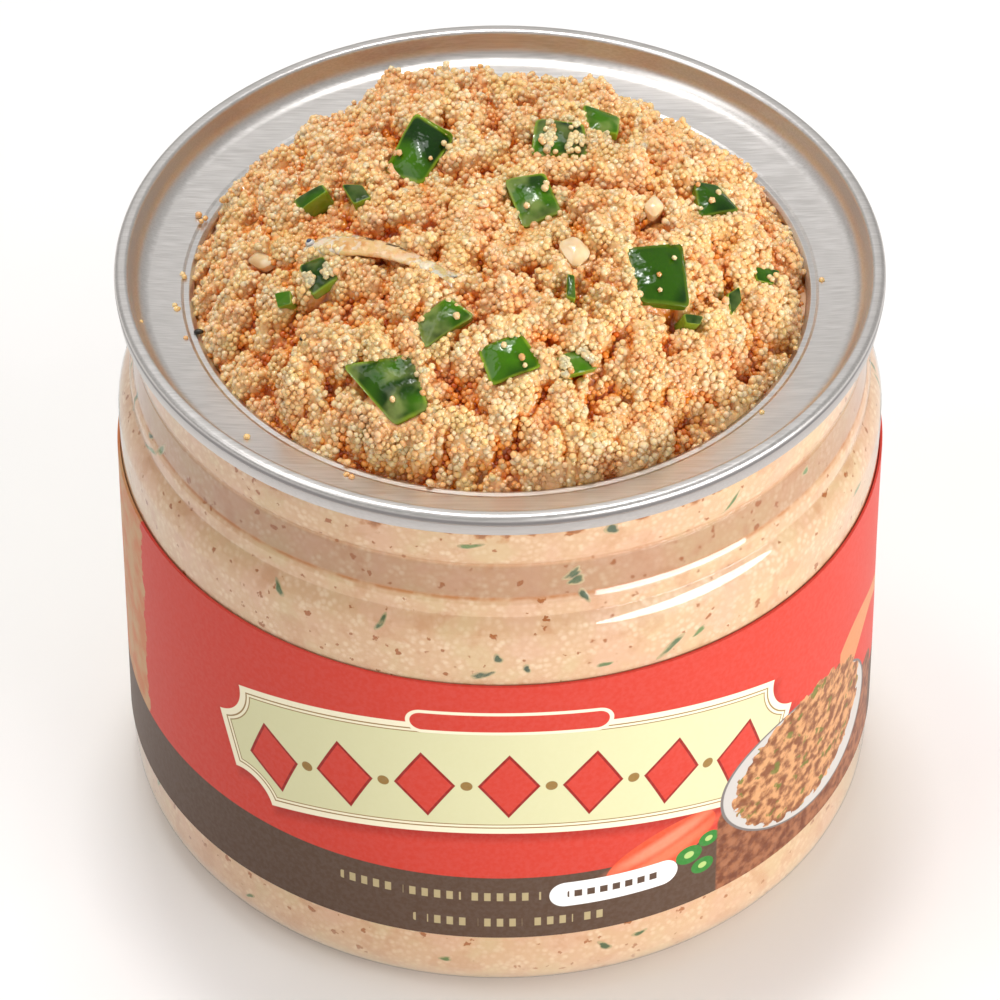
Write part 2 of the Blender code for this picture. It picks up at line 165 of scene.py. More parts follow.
def tube_faces(rows: int, columns: int) -> list:
    """Faces of rings that are closed by a pole before the first ring and one after the last.

    The rings' points come first, then the first pole, then the last.

    Args:
        rows: number of rings.
        columns: points in each ring.

    Returns:
        A list with the quads and the two fans of triangles.
    """
    ring = np.arange(columns)
    after = (ring + 1) % columns
    last = (rows - 1) * columns
    first_pole = np.full(columns, rows * columns)
    fan = np.stack((first_pole, after, ring), axis=-1)
    top = np.stack((first_pole + 1, last + ring, last + after), axis=-1)
    return [grid_faces(rows, columns), fan, top]


def copies(faces: list, count: int, step: int) -> list:
    """Faces of several copies of a shape, whose points follow on one another.

    Args:
        faces: arrays of point numbers in the first copy.
        count: how many copies there are.
        step: points in each copy.

    Returns:
        One array for each of faces, with all the copies.
    """
    offset = np.arange(count)[:, None, None] * step
    return [(part[None] + offset).reshape(-1, part.shape[1]) for part in faces]


def filleted(rows: tuple, steps: int = 7) -> np.ndarray:
    """Round the corners of a profile with arcs that touch both of a corner's sides.

    The arc's centre lies on the bisector of the corner, at its radius divided by the sine of
    half the corner's angle.

    Args:
        rows: (radius, height, fillet) for each corner; a fillet of 0 stays sharp.
        steps: segments in each arc.

    Returns:
        (n, 2) radii and heights.
    """
    rows = np.asarray(rows, dtype=float)
    places = rows[:, :2]
    found = [places[:1]]
    for before, here, after, size in zip(places, places[1:], places[2:], rows[1:-1, 2]):
        back, on = unit(before - here), unit(after - here)
        half = math.acos(float(np.clip(back @ on, -1.0, 1.0))) / 2.0
        if size <= 0.0 or half > STRAIGHT:
            found.append(here[None])
            continue
        centre = here + unit(back + on) * size / math.sin(half)
        ends = here + np.stack((back, on)) * size / math.tan(half) - centre
        start, end = np.arctan2(ends[:, 1], ends[:, 0])
        turn = (end - start + math.pi) % (2.0 * math.pi) - math.pi
        angles = start + turn * np.linspace(0.0, 1.0, steps + 1)
        found.append(centre + size * np.stack((np.cos(angles), np.sin(angles)), axis=-1))
    found.append(places[-1:])
    return np.concatenate(found)


def turned(profile: np.ndarray, columns: int) -> tuple:
    """Turn a profile round Z: x is radius times sine, y is minus radius times cosine.

    The profile goes out along the underside, up the outside and back, so that faces point
    outwards. It is closed on the axis where its first radius is 0, or else on itself.

    Args:
        profile: (n, 2) radii and heights.
        columns: points round the axis. The first lies at the back, on +Y.

    Returns:
        (points, list of faces).
    """
    angle = bearings(columns) - math.pi
    to_axis = profile[0, 0] == 0.0
    rings = profile[1:-1] if to_axis else profile
    radius, height = rings[:, :1], rings[:, 1:]
    places = (radius * np.sin(angle), -radius * np.cos(angle), height + 0.0 * angle)
    points = np.stack(places, axis=-1).reshape(-1, 3)
    if to_axis:
        poles = np.array([(0.0, 0.0, profile[0, 1]), (0.0, 0.0, profile[-1, 1])])
        return np.concatenate((points, poles)), tube_faces(len(rings), columns)
    closing = grid_faces(2, columns)
    closing = np.where(closing >= columns, closing - columns, closing + (len(rings) - 1) * columns)
    return points, [grid_faces(len(rings), columns), closing]


def waves(places: np.ndarray, size: float, seed: int, count: int = 9) -> np.ndarray:
    """Smooth unevenness: a sum of plane waves with random directions and phases.

    Args:
        places: (..., k) points in millimetres.
        size: typical wavelength in millimetres.
        seed: which random draw is taken.
        count: number of waves.

    Returns:
        Values of about -1 to 1, with the shape of places less its last axis.
    """
    rng = np.random.default_rng(seed)
    way = rng.normal(size=(count, places.shape[-1]))
    way *= rng.uniform(0.7, 1.5, (count, 1)) / np.linalg.norm(way, axis=1, keepdims=True)
    phase = rng.uniform(0.0, 2.0 * math.pi, count)
    return np.sin(places @ way.T * 2.0 * math.pi / size + phase).sum(axis=-1) / math.sqrt(2 * count)


# Shader wiring

class Signal:
    """A node's output. Its sums, products and steps add nodes to the same material."""

    def __init__(self, wiring: "Wiring", socket: bpy.types.NodeSocket) -> None:
        """Keep the output and its material."""
        self.wiring, self.socket = wiring, socket

    def __add__(self, other: "Value") -> "Signal":
        """Sum."""
        return self.wiring.math("ADD", self, other)

    def __sub__(self, other: "Value") -> "Signal":
        """Difference."""
        return self.wiring.math("SUBTRACT", self, other)

    def __mul__(self, other: "Value") -> "Signal":
        """Product; of two shares, it is 1 where both are."""
        return self.wiring.math("MULTIPLY", self, other)

    def __abs__(self) -> "Signal":
        """The number without its sign."""
        return self.wiring.math("ABSOLUTE", self)

    def ramp(self, start: float, end: float, low: float = 0.0, high: float = 1.0) -> "Signal":
        """Smooth step from low at start to high at end."""
        inputs = {"Value": self, "From Min": start, "From Max": end, "To Min": low, "To Max": high}
        return self.wiring.add("MapRange", inputs, interpolation_type="SMOOTHSTEP")


Value = Union[float, tuple, Signal]


class Wiring:
    """A material's nodes, with short calls that add a node and return its output."""

    def __init__(self, name: str) -> None:
        """Start an empty material."""
        self.material = bpy.data.materials.new(name)
        self.material.use_nodes = True
        self.tree = self.material.node_tree
        self.tree.nodes.clear()
        self.output = self.tree.nodes.new("ShaderNodeOutputMaterial")

    def feed(self, socket: bpy.types.NodeSocket, value: Value) -> None:
        """Link a socket to a signal, or set its own value."""
        if isinstance(value, Signal):
            self.tree.links.new(value.socket, socket)
        else:
            socket.default_value = value

    def node(self, kind: str, inputs: dict, **settings: object) -> bpy.types.Node:
        """Add a node.

        Args:
            kind: node type without its ShaderNode prefix.
            inputs: values or signals by input name or number.
            settings: the node's own properties.

        Returns:
            The node.
        """
        node = self.tree.nodes.new("ShaderNode" + kind)
        for key, value in settings.items():
            setattr(node, key, value)
        for key, value in inputs.items():
            self.feed(node.inputs[key], value)
        return node

    def add(self, kind: str, inputs: dict, output: Union[int, str] = 0, **settings: object) -> Signal:
        """Add a node and take one of its outputs, by name or number."""
        return Signal(self, self.node(kind, inputs, **settings).outputs[output])

    def math(self, operation: str, *terms: Value) -> Signal:
        """A Math node of up to three terms."""
        return self.add("Math", dict(enumerate(terms)), operation=operation)

    def vector(self, operation: str, *terms: Value, output: str = "Vector") -> Signal:
        """A Vector Math node of up to three terms."""
        return self.add("VectorMath", dict(enumerate(terms)), output, operation=operation)

    def length(self, where: Value) -> Signal:
        """Length of a vector."""
        return self.vector("LENGTH", where, output="Value")

    def parts(self, where: Value) -> list:
        """The three numbers of a vector."""
        return [Signal(self, output) for output in self.node("SeparateXYZ", {0: where}).outputs]

    def laid(self, colour: Value, *layers: tuple) -> Signal:
        """Lay colours over one another.

        Args:
            colour: the lowest.
            layers: (share that is covered, colour) for each one above it.

        Returns:
            The colour that is seen.
        """
        for share, over in layers:
            colour = self.add("Mix", {0: share, 6: colour, 7: over}, 2, data_type="RGBA")
        return colour

    def place(self) -> Signal:
        """The point's place on the object, in metres."""
        return self.add("TexCoord", {}, "Object")

    def height(self, place: Signal) -> Signal:
        """Height of a place in millimetres."""
        return self.math("DIVIDE", self.parts(place)[2], MM)

    def carried(self, name: str) -> Signal:
        """A number that the mesh carries at each point."""
        return self.add("Attribute", {}, "Fac", attribute_name=name)

    def noise(self, where: Value, size: float, detail: float = 2.0) -> Signal:
        """Cloudy noise from 0 to 1 whose blotches are about size millimetres wide."""
        inputs = {"Vector": where, "Scale": 1.0 / (size * MM), "Detail": detail}
        return self.add("TexNoise", inputs, "Fac")

    def cells(self, where: Value, size: float) -> tuple:
        """Round cells of about size millimetres: distance to the nearest centre, and its number."""
        node = self.node("TexVoronoi", {"Vector": where, "Scale": 1.0 / (size * MM)})
        distance, colour = (Signal(self, node.outputs[name]) for name in ("Distance", "Color"))
        return distance, self.add("SeparateColor", {0: colour})

    def bump(self, height: Value, depth: float, strength: float = 1.0) -> Signal:
        """A bumped normal from a height of 0 to 1 that stands for depth millimetres."""
        return self.add("Bump", {"Height": height, "Distance": depth * MM, "Strength": strength})

    def finish(self, shader: Signal) -> bpy.types.Material:
        """Give the material its shader."""
        self.feed(self.output.inputs["Surface"], shader)
        return self.material

    def surface(self, bloom: Optional[tuple] = None, **sockets: Value) -> bpy.types.Material:
        """Finish the material with a Principled shader.

        Args:
            bloom: weight, red, green and blue reach, and scale in millimetres of its scattering.
            sockets: other inputs, with _ for a space in their names.

        Returns:
            The material.
        """
        inputs = {key.replace("_", " "): value for key, value in sockets.items()}
        if bloom:
            weight, *reach, scale = bloom
            inputs |= {"Subsurface Weight": weight, "Subsurface Radius": reach,
                       "Subsurface Scale": scale * MM}
        return self.finish(self.add("BsdfPrincipled", inputs))


# Finishes

@dataclass(frozen=True)
class RolledSheet:
    """Bright aluminium sheet with the fine straight grain of its rolling, along X."""

    light: tuple = srgb(224, 220, 217)
    dark: tuple = srgb(210, 206, 202)
    # painted shade on the skirt, darkest just under the seam bead
    skirt_shade: tuple = srgb(150, 146, 146)
    # painted shade: a dark line in the crease under the seam bead
    crease_shade: tuple = srgb(70, 66, 68)
    crease: tuple = (64.78, 0.16)  # height and half width of the painted shade line under the seam bead
    outside: float = 37.4          # radius past which the skirt and seam carry painted shade
    roughness: float = 0.35
    grain_width: float = 0.16
    grain_length: float = 11.0

    def material(self) -> bpy.types.Material:
        """Grain is noise drawn out along X; it shifts colour, roughness and height a little."""
        wiring = Wiring("rolled_aluminium")
        place = wiring.place()
        stretch = (self.grain_width / self.grain_length, 1.0, 1.0)
        grain = wiring.noise(wiring.vector("MULTIPLY", place, stretch), self.grain_width, 3.0)
        height = wiring.height(place)
        middle, half = self.crease
        radius = wiring.length(wiring.vector("MULTIPLY", place, (1.0, 1.0, 0.0)))
        outer = wiring.math("GREATER_THAN", radius, self.outside * MM)
        # painted shade on the skirt: darker towards its top, under the seam bead
        skirt = height.ramp(65.2, 65.0) * height.ramp(63.2, 65.0, 0.35, 0.70)
        # painted shade line in the crease under the seam bead
        line = abs(height - middle).ramp(half * 2.0, half * 0.5, 0.0, 0.55)
        colour = wiring.laid(
            self.dark, (grain.ramp(0.3, 0.7), self.light),
            (wiring.noise(place, 14.0).ramp(0.35, 0.75, 0.0, 0.25), self.dark),
            (skirt * outer, self.skirt_shade), (line * outer, self.crease_shade))
        return wiring.surface(Base_Color=colour, Metallic=1.0, Normal=wiring.bump(grain, 0.002, 0.13),
                              Roughness=grain.ramp(0.25, 0.75, -0.05, 0.05) + self.roughness)


@dataclass(frozen=True)
class ClearWall:
    """Clear thin plastic: what is behind it shows, under a sharp reflection of the lights."""

    tint: tuple = (0.985, 0.99, 0.985, 1.0)
    straight: float = 0.05         # share mirrored where the surface is met squarely
    roughness: float = 0.03

    def material(self) -> bpy.types.Material:
        """A gloss over a faintly tinted see-through shader.

        The gloss's share grows from the straight share to 1 with the fifth power of facing.
        """
        wiring = Wiring("clear_plastic")
        ripple = wiring.bump(wiring.noise(wiring.place(), 11.0), 0.05, 0.35)
        through = wiring.add("BsdfTransparent", {"Color": self.tint})
        gloss = wiring.add("BsdfGlossy", {"Roughness": self.roughness, "Normal": ripple})
        facing = wiring.add("LayerWeight", {"Blend": 0.5}, "Facing")
        share = wiring.math("POWER", facing, 5.0) * (1.0 - self.straight) + self.straight
        return wiring.finish(wiring.add("MixShader", {0: share, 1: through, 2: gloss}))


@dataclass(frozen=True)
class PressedRoe:
    """Roe pressed flat behind the clear wall: pale eggs in a peach paste with brown pits."""

    egg: tuple = srgb(242, 212, 176)
    paste: tuple = srgb(214, 162, 112)
    olive: tuple = srgb(212, 180, 122)
    rose: tuple = srgb(220, 162, 126)
    amber: tuple = srgb(192, 112, 34)
    pit: tuple = srgb(172, 98, 36)
    brown: tuple = srgb(136, 74, 16)
    haze: tuple = srgb(232, 208, 182)
    egg_size: float = 0.66
    recess: tuple = (53.75, 57.8)  # heights between which the neck is set in and darkened by painted shade
    # share of painted shade over the recess
    shaded: float = 0.46
    whole: float = 0.55            # share of the cells that hold no pit
    gap: float = 61.5              # height above which the paste has drawn back and is brown

    def material(self) -> bpy.types.Material:
        """Cells give eggs, clouds of three sizes give tints, and a few cells hold a pit."""
        wiring = Wiring("pressed_roe")
        place = wiring.place()
        height = wiring.height(place)
        egg, _ = wiring.cells(place, self.egg_size)
        clouds = wiring.noise(place, 5.5, 4.0)
        dots = egg.ramp(0.70, 0.15) * wiring.noise(place, 1.7, 3.0).ramp(0.36, 0.66, 0.22, 0.78)
        ragged = wiring.noise(place, 2.0, 5.0)
        colour = wiring.laid(
            self.paste, (dots, self.egg), (clouds.ramp(0.50, 0.66, 0.0, 0.6), self.olive),
            (clouds.ramp(0.47, 0.34, 0.0, 0.6), self.rose),
            (wiring.noise(place, 3.1, 5.0).ramp(0.53, 0.66, 0.0, 0.50), self.amber),
            (0.25, self.haze),
            (self.pits(wiring, place, 2.3, 0.15, 1.0), self.pit),
            (self.pits(wiring, place, 1.3, 0.14, 0.9), self.pit),
            # painted light: the haze grows towards the foot, standing in for light through the curved
            # base
            (height.ramp(9.5, 0.0, 0.0, 0.45), self.haze), *self.recess_layers(height, ragged))
        return wiring.surface(Base_Color=colour, Roughness=0.32, Normal=wiring.bump(egg, -0.06, 0.4))

    def recess_layers(self, height: Signal, ragged: Signal) -> tuple:
        """Layers of painted shade over the recess and along its two ends, and the brown drawn-back
        top.

        Args:
            height: height in millimetres.
            ragged: noise that breaks up the edges.

        Returns:
            (share, colour) for each layer.
        """
        low, high = self.recess
        # painted shade over the recess, and painted shade lines along its two ends
        within = height.ramp(low - 0.1, low + 0.25) * height.ramp(high + 0.15, high - 0.5)
        foot, head = (abs(height - end).ramp(0.34, 0.0) * ragged.ramp(0.34, 0.62, 0.2, depth)
                      for end, depth in ((low, 0.75), (high, 0.25)))
        drawn = height + ragged.ramp(0.35, 0.70, -1.1, 0.8)
        return ((within * self.shaded, self.brown), (foot, self.amber), (head, self.amber),
                (drawn.ramp(self.gap - 0.2, self.gap + 0.6, 0.0, 0.75), self.amber),
                (drawn.ramp(self.gap + 0.3, self.gap + 0.7, 0.0, 0.6), self.brown))

    def pits(self, wiring: Wiring, place: Signal, size: float, share: float, depth: float) -> Signal:
        """How much of the colour ragged pits cover.

        Args:
            wiring: the material that they belong to.
            place: the place that is read.
            size: distance between the cells' centres.
            share: radius of a pit over size.
            depth: how much of the colour a pit covers at most.

        Returns:
            The share.
        """
        near, number = wiring.cells(place, size)
        ragged = near + wiring.noise(place, size * 0.2).ramp(0.3, 0.7, -share / 2, share / 2)
        few = wiring.math("GREATER_THAN", number, self.whole)
        return ragged.ramp(share * 1.2, share * 0.8, 0.0, depth) * few


@dataclass(frozen=True)
class LooseRoe:
    """Eggs, or the paste under them, with painted shade: pale where they stand high, orange in
    crevices.
    """

    name: str
    # pale, deep and pit are a painted shade scale from crest to crevice
    pale: tuple
    deep: tuple
    pit: tuple = srgb(186, 80, 14)
    straw: tuple = srgb(244, 206, 132)
    rose: tuple = srgb(246, 172, 112)
    roughness: float = 0.20
    coat: float = 0.30
    grains: float = 0.0            # depth of drawn egg-sized bumps, in millimetres

    def material(self) -> bpy.types.Material:
        """Carried height runs from pit over deep to pale as painted shade; soft clouds and carried
        shade vary it.
        """
        wiring = Wiring(self.name)
        place = wiring.place()
        clouds = wiring.noise(place, 3.6, 3.0)
        # the carried height is the relief's tone: painted shade, dark in crevices and pale on crests
        height = wiring.carried("height")
        colour = wiring.laid(
            self.pit, (height.ramp(0.0, 0.30), self.deep), (height.ramp(0.20, 0.78), self.pale),
            (clouds.ramp(0.52, 0.66, 0.0, 0.35), self.straw),
            (clouds.ramp(0.48, 0.34, 0.0, 0.50), self.rose))
        shade = wiring.carried("shade").ramp(0.0, 1.0, 0.89, 1.02)
        if self.grains > 0.0:
            normal = wiring.bump(wiring.cells(place, 0.45)[0], -self.grains)
        else:
            normal = wiring.bump(wiring.noise(place, 0.35), 0.03, 0.5)
        return wiring.surface(
            (0.55, 1.0, 0.65, 0.40, 0.5), Roughness=self.roughness, Specular_IOR_Level=0.6,
            Base_Color=wiring.add("VectorMath", {0: colour, "Scale": shade}, operation="SCALE"),
            Coat_Weight=self.coat, Coat_Roughness=0.06, Normal=normal)


@dataclass(frozen=True)
class PepperSkin:
    """Green pepper: glossy dark skin, paler flesh where it is cut, and a wet film in places."""

    skin: tuple = srgb(62, 110, 3)
    shadow: tuple = srgb(18, 50, 2)
    flesh: tuple = srgb(128, 152, 34)
    film: tuple = srgb(128, 144, 76)

    def material(self) -> bpy.types.Material:
        """Carried skin and wet values pick skin, flesh and film; clouds make them uneven."""
        wiring = Wiring("green_pepper")
        place = wiring.place()
        colour = wiring.laid(
            self.shadow, (wiring.noise(place, 6.0, 1.0).ramp(0.38, 0.62), self.skin),
            (wiring.carried("skin").ramp(0.95, 0.55), self.flesh),
            # painted shade: the carried dark value darkens the whole piece
            (wiring.carried("dark"), self.shadow),
            (wiring.noise(place, 2.6).ramp(0.40, 0.66) * wiring.carried("wet"), self.film))
        return wiring.surface(
            (0.1, 0.3, 1.0, 0.1, 0.5), Base_Color=colour, Specular_IOR_Level=0.28,
            Roughness=wiring.noise(place, 0.8).ramp(0.35, 0.65, 0.06, 0.18),
            Normal=wiring.bump(wiring.noise(place, 1.3), 0.34, 0.5))


@dataclass(frozen=True)
class GarlicFlesh:
    """Cooked garlic: cream, half clear and wet."""

    pale: tuple = srgb(236, 212, 172)
    deep: tuple = srgb(220, 184, 134)

    def material(self) -> bpy.types.Material:
        """Clouds run from cream to amber under a wet coat."""
        wiring = Wiring("garlic_flesh")
        clouds = wiring.noise(wiring.place(), 2.0)
        return wiring.surface(
            (0.6, 1.0, 0.7, 0.35, 1.5), Roughness=0.22, Coat_Weight=0.5, Coat_Roughness=0.06,
            Base_Color=wiring.laid(self.pale, (clouds.ramp(0.35, 0.68), self.deep)),
            Normal=wiring.bump(clouds, 0.12, 0.4))


@dataclass(frozen=True)
class DriedSkin:
    """Skin of a small dried fish: amber and half clear, with dark specks along its back."""

    body: tuple = srgb(230, 190, 128)
    amber: tuple = srgb(214, 154, 82)
    scale: tuple = srgb(236, 216, 190)
    speck: tuple = srgb(64, 48, 36)

    def material(self) -> bpy.types.Material:
        """The carried back value runs from 0 at the belly to 1 along the back; run is its length.

        Pale scales lie towards both ends, and a broken dark line along the back's middle.
        """
        wiring = Wiring("dried_skin")
        place = wiring.place()
        back, run = wiring.carried("back"), wiring.carried("run")
        scales = wiring.noise(place, 1.2, 4.0).ramp(0.45, 0.53, 0.0, 0.9)
        ends = wiring.math("MAXIMUM", run.ramp(0.50, 0.34, 0.3, 1.0), run.ramp(0.62, 0.82, 0.3, 0.9))
        middle = run.ramp(0.30, 0.42) * run.ramp(0.74, 0.66)
        broken = wiring.noise(place, 0.9, 3.0).ramp(0.44, 0.50)
        colour = wiring.laid(
            self.body, (wiring.noise(place, 1.3, 3.0).ramp(0.40, 0.66), self.amber),
            (scales * ends, self.scale), (back.ramp(0.90, 0.95) * (middle * broken), self.speck))
        return wiring.surface(
            (0.7, 1.0, 0.6, 0.3, 1.2), Base_Color=colour, Roughness=0.2, Coat_Weight=0.4,
            Coat_Roughness=0.08, Normal=wiring.bump(wiring.noise(place, 0.8, 4.0), 0.30, 0.7))


@dataclass(frozen=True)
class Plain:
    """One colour with a little cloudy unevenness, for the smallest pieces and the floor."""

    name: str
    light: tuple
    dark: tuple
    size: float
    roughness: float

    def material(self) -> bpy.types.Material:
        """Clouds of the given size run from light to dark."""
        wiring = Wiring(self.name)
        clouds = wiring.noise(wiring.place(), self.size, 3.0)
        return wiring.surface(
            Base_Color=wiring.laid(self.light, (clouds.ramp(0.35, 0.65), self.dark)),
            Roughness=self.roughness, Normal=wiring.bump(clouds, self.size * 0.02, 0.3))


@dataclass(frozen=True)
class GreenBit:
    """Bits of pepper and leek seen through the wall, from dark green to yellow green."""

    dark: tuple = srgb(66, 82, 58)
    bright: tuple = srgb(118, 144, 76)
    veil: tuple = srgb(196, 172, 126)

    def material(self) -> bpy.types.Material:
        """The carried tone picks the green, and a veil of paste hides part of each bit."""
        wiring = Wiring("green_bit")
        clouds = wiring.noise(wiring.place(), 0.7, 3.0)
        veil = (wiring.carried("edge").ramp(0.35, 0.95, 0.0, 0.60) + clouds).ramp(0.50, 0.95)
        colour = wiring.laid(self.dark, (wiring.carried("tone"), self.bright), (veil, self.veil))
        return wiring.surface((0.3, 0.6, 1.0, 0.3, 0.8), Base_Color=colour, Roughness=0.3)


# Label print

class Artist(Wiring):
    """Draws flat shapes on the label, in millimetres round from its front and up from the table.

    A shape is the distance outside its outline, negative within it. It is measured on the label,
    or on another place that is given.
    """

    def __init__(self, name: str) -> None:
        """Read the printed place from the Print map, whose unit is 100 mm."""
        super().__init__(name)
        self.at = self.vector("MULTIPLY", self.add("UVMap", {}, uv_map="Print"), (100.0, 100.0, 0.0))

    def joined(self, first: Value, second: Value) -> Signal:
        """A place from two numbers."""
        return self.add("CombineXYZ", {0: first, 1: second})

    def moved(self, centre: tuple, turn: float = 0.0, where: Optional[Signal] = None) -> Signal:
        """Place measured from a centre, along axes turned anticlockwise by degrees."""
        own = self.vector("SUBTRACT", where or self.at, (*centre, 0.0))
        if turn == 0.0:
            return own
        c, s = math.cos(math.radians(turn)), math.sin(math.radians(turn))
        return self.joined(*(self.vector("DOT_PRODUCT", own, axis, output="Value")
                             for axis in ((c, s, 0.0), (-s, c, 0.0))))

    def box(self, centre: tuple, half: tuple, rounding: float,
            where: Optional[Signal] = None) -> Signal:
        """A rounded box: the length of what reaches past it, or within it the larger of the two
        distances to its sides.
        """
        past = self.vector("ABSOLUTE", self.moved(centre, where=where))
        past = self.vector("SUBTRACT", past, (half[0] - rounding, half[1] - rounding, 0.0))
        within = self.math("MINIMUM", self.math("MAXIMUM", *self.parts(past)[:2]), 0.0)
        return self.length(self.vector("MAXIMUM", past, (0.0, 0.0, 0.0))) + within - rounding

    def oval(self, centre: tuple, half: tuple, turn: float = 0.0,
             where: Optional[Signal] = None) -> Signal:
        """An oval, whose distance is true along its shorter axis."""
        unit = self.vector("DIVIDE", self.moved(centre, turn, where), (*half, 1.0))
        return (self.length(unit) - 1.0) * min(half)

    def inside(self, distance: Signal, soft: float = 0.08) -> Signal:
        """1 where a distance is negative, with an edge soft millimetres wide."""
        return distance.ramp(soft / 2, -soft / 2)

    def within(self, value: Signal, half: float) -> Signal:
        """1 where a number lies between -half and half."""
        return self.inside(abs(value) - half)

    def line(self, distance: Signal, depth: float, width: float) -> Signal:
        """A line of a width that runs inside an outline, its middle at a depth."""
        return self.within(distance + depth, width / 2)

    def repeated(self, value: Signal, period: float) -> Signal:
        """A number wrapped to run from minus half a period to half a period."""
        return self.math("WRAP", value, period / 2, -period / 2)

    def clouds(self, size: float, detail: float) -> Signal:
        """Noise on the label whose blotches are about size millimetres wide."""
        return self.noise(self.at, size / MM, detail)


@dataclass(frozen=True)
class LabelPrint:
    """The printed label: a red field, a brown band, a cream plaque and simple shapes."""

    red: tuple = srgb(205, 64, 50)
    brown: tuple = srgb(90, 68, 54)
    cream: tuple = srgb(244, 234, 204)
    plaque: tuple = srgb(216, 212, 168)
    dull: tuple = srgb(180, 162, 122)
    gold: tuple = srgb(150, 116, 62)
    shade: tuple = srgb(150, 34, 28)
    white: tuple = srgb(250, 248, 244)
    side: tuple = (srgb(200, 122, 76), srgb(196, 152, 108))
    stripe: tuple = srgb(208, 138, 92)
    leaf: tuple = srgb(222, 84, 52)
    streaks: tuple = ((0.9, srgb(246, 152, 120)), (-0.9, srgb(240, 128, 92)))
    rings: tuple = (srgb(56, 128, 52), srgb(176, 200, 120))
    clay: tuple = (srgb(112, 62, 40), srgb(160, 104, 72))
    rim: tuple = (srgb(120, 112, 108), srgb(196, 190, 184))
    filling: tuple = (srgb(208, 152, 104), srgb(132, 80, 50), srgb(104, 112, 44))
    band_top: float = 17.8
    plaque_centre: tuple = (0.0, -66.0)
    plaque_middle: float = 97.4
    plaque_half: tuple = (31.2, 7.35)
    plaque_shift: float = 0.9
    notch: float = 3.9

    def material(self) -> bpy.types.Material:
        """Lay the shapes over one another, from the field to the small marks."""
        pen = Artist("label_print")
        colour = self.field(pen)
        for draw in (self.panels, self.plaque_shape, self.pepper, self.bowl, self.marks):
            colour = draw(pen, colour)
        paper = pen.noise(pen.place(), 0.5, 3.0)
        colour = pen.laid(colour, (paper.ramp(0.3, 0.7, 0.0, 0.02), self.white))
        return pen.surface(Base_Color=colour, Roughness=0.45, Specular_IOR_Level=0.12,
                           Coat_Weight=0.02, Coat_Roughness=0.2, Normal=pen.bump(paper, 0.01, 0.3))

    def field(self, pen: Artist) -> Signal:
        """Red above a brown band, with a tan field at the left and a slanted tan stripe."""
        frayed = pen.clouds(2.0, 3.0).ramp(0.3, 0.7, -0.5, 0.5)
        side = pen.laid(self.side[0], (pen.clouds(3.0, 3.0).ramp(0.35, 0.65), self.side[1]))
        across, up, _ = pen.parts(pen.moved((49.8, 28.6)))
        stripe = abs(across * across * 0.055 + up) - across.ramp(-9.0, 3.0, 3.7, 1.0)
        return pen.laid(
            self.red, (pen.inside(pen.box((-58.0, 31.0), (12.6, 18.0), 3.0) + frayed, 0.3), side),
            (pen.inside(stripe, 0.2) * pen.within(across, 8.0), self.stripe),
            (pen.parts(pen.at)[1].ramp(self.band_top + 0.05, self.band_top - 0.05), self.brown))

    def panels(self, pen: Artist, colour: Signal) -> Signal:
        """Two cream panels at the back, with rows of plain bars."""
        for bearing in (-88.0, 90.0):
            across, up, _ = pen.parts(pen.moved((bearing, 28.5)))
            panel = pen.box((bearing, 28.5), (15.0, 12.5), 1.2)
            rows = pen.within(pen.repeated(up, 3.0), 0.45) * pen.within(across, 12.6)
            bars = rows * pen.inside(panel + 1.6) * abs(across - 3.0).ramp(0.31, 0.39)
            colour = pen.laid(colour, (pen.inside(panel), self.cream),
                              (pen.line(panel, 0.7, 0.16), self.brown), (bars, self.brown))
        return colour

    def plaque_place(self, pen: Artist) -> Signal:
        """Place on the plaque, which is bent round a centre far below it: along the arc, and out."""
        across, up, _ = pen.parts(pen.moved(self.plaque_centre))
        along = pen.math("ARCTAN2", across, up) * self.plaque_middle - self.plaque_shift
        return pen.joined(along, pen.length(pen.joined(across, up)) - self.plaque_middle)

    def plaque_outline(self, pen: Artist, where: Signal) -> Signal:
        """Distance outside the plaque: a box less a round notch at each corner."""
        corner = pen.vector("SUBTRACT", pen.vector("ABSOLUTE", where), (*self.plaque_half, 0.0))
        notch = pen.math("SUBTRACT", self.notch, pen.length(corner))
        return pen.math("MAXIMUM", pen.math("MAXIMUM", *pen.parts(corner)[:2]), notch)

    def plaque_shape(self, pen: Artist, colour: Signal) -> Signal:
        """The notched cream plaque with two fine lines, a row of lozenges and a badge on its top."""
        where = self.plaque_place(pen)
        shadow = self.plaque_outline(pen, pen.vector("ADD", where, (-0.5, 0.7, 0.0)))
        edge = self.plaque_outline(pen, where)
        badge = pen.box((0.0, 7.6), (9.5, 1.5), 1.5, where)
        return pen.laid(
            colour, (shadow.ramp(1.1, -0.6, 0.0, 0.6), self.shade), (pen.inside(edge), self.cream),
            (pen.inside(edge + 1.2), self.plaque), (pen.line(edge, 0.78, 0.16), self.gold),
            (pen.line(edge, 1.2, 0.12), self.gold), *self.lozenges(pen, where),
            (pen.inside(badge), self.cream), (pen.inside(badge + 0.4), self.red))

    def lozenges(self, pen: Artist, where: Signal, step: float = 8.4) -> tuple:
        """Layers of red lozenges with a dark edge along the plaque, and a dot between each two."""
        along, out, _ = pen.parts(where)
        low = out + 0.9
        slant = abs(pen.repeated(along, step)) + abs(low) * 0.72
        dot = pen.length(pen.joined(pen.repeated(along + step / 2, step), low))
        ends = pen.within(along, step * 3.4)
        return ((pen.inside(slant - 3.1) * ends, self.shade),
                (pen.inside(slant - 2.75) * ends, self.red),
                (pen.inside(dot - 0.6) * ends, self.gold))

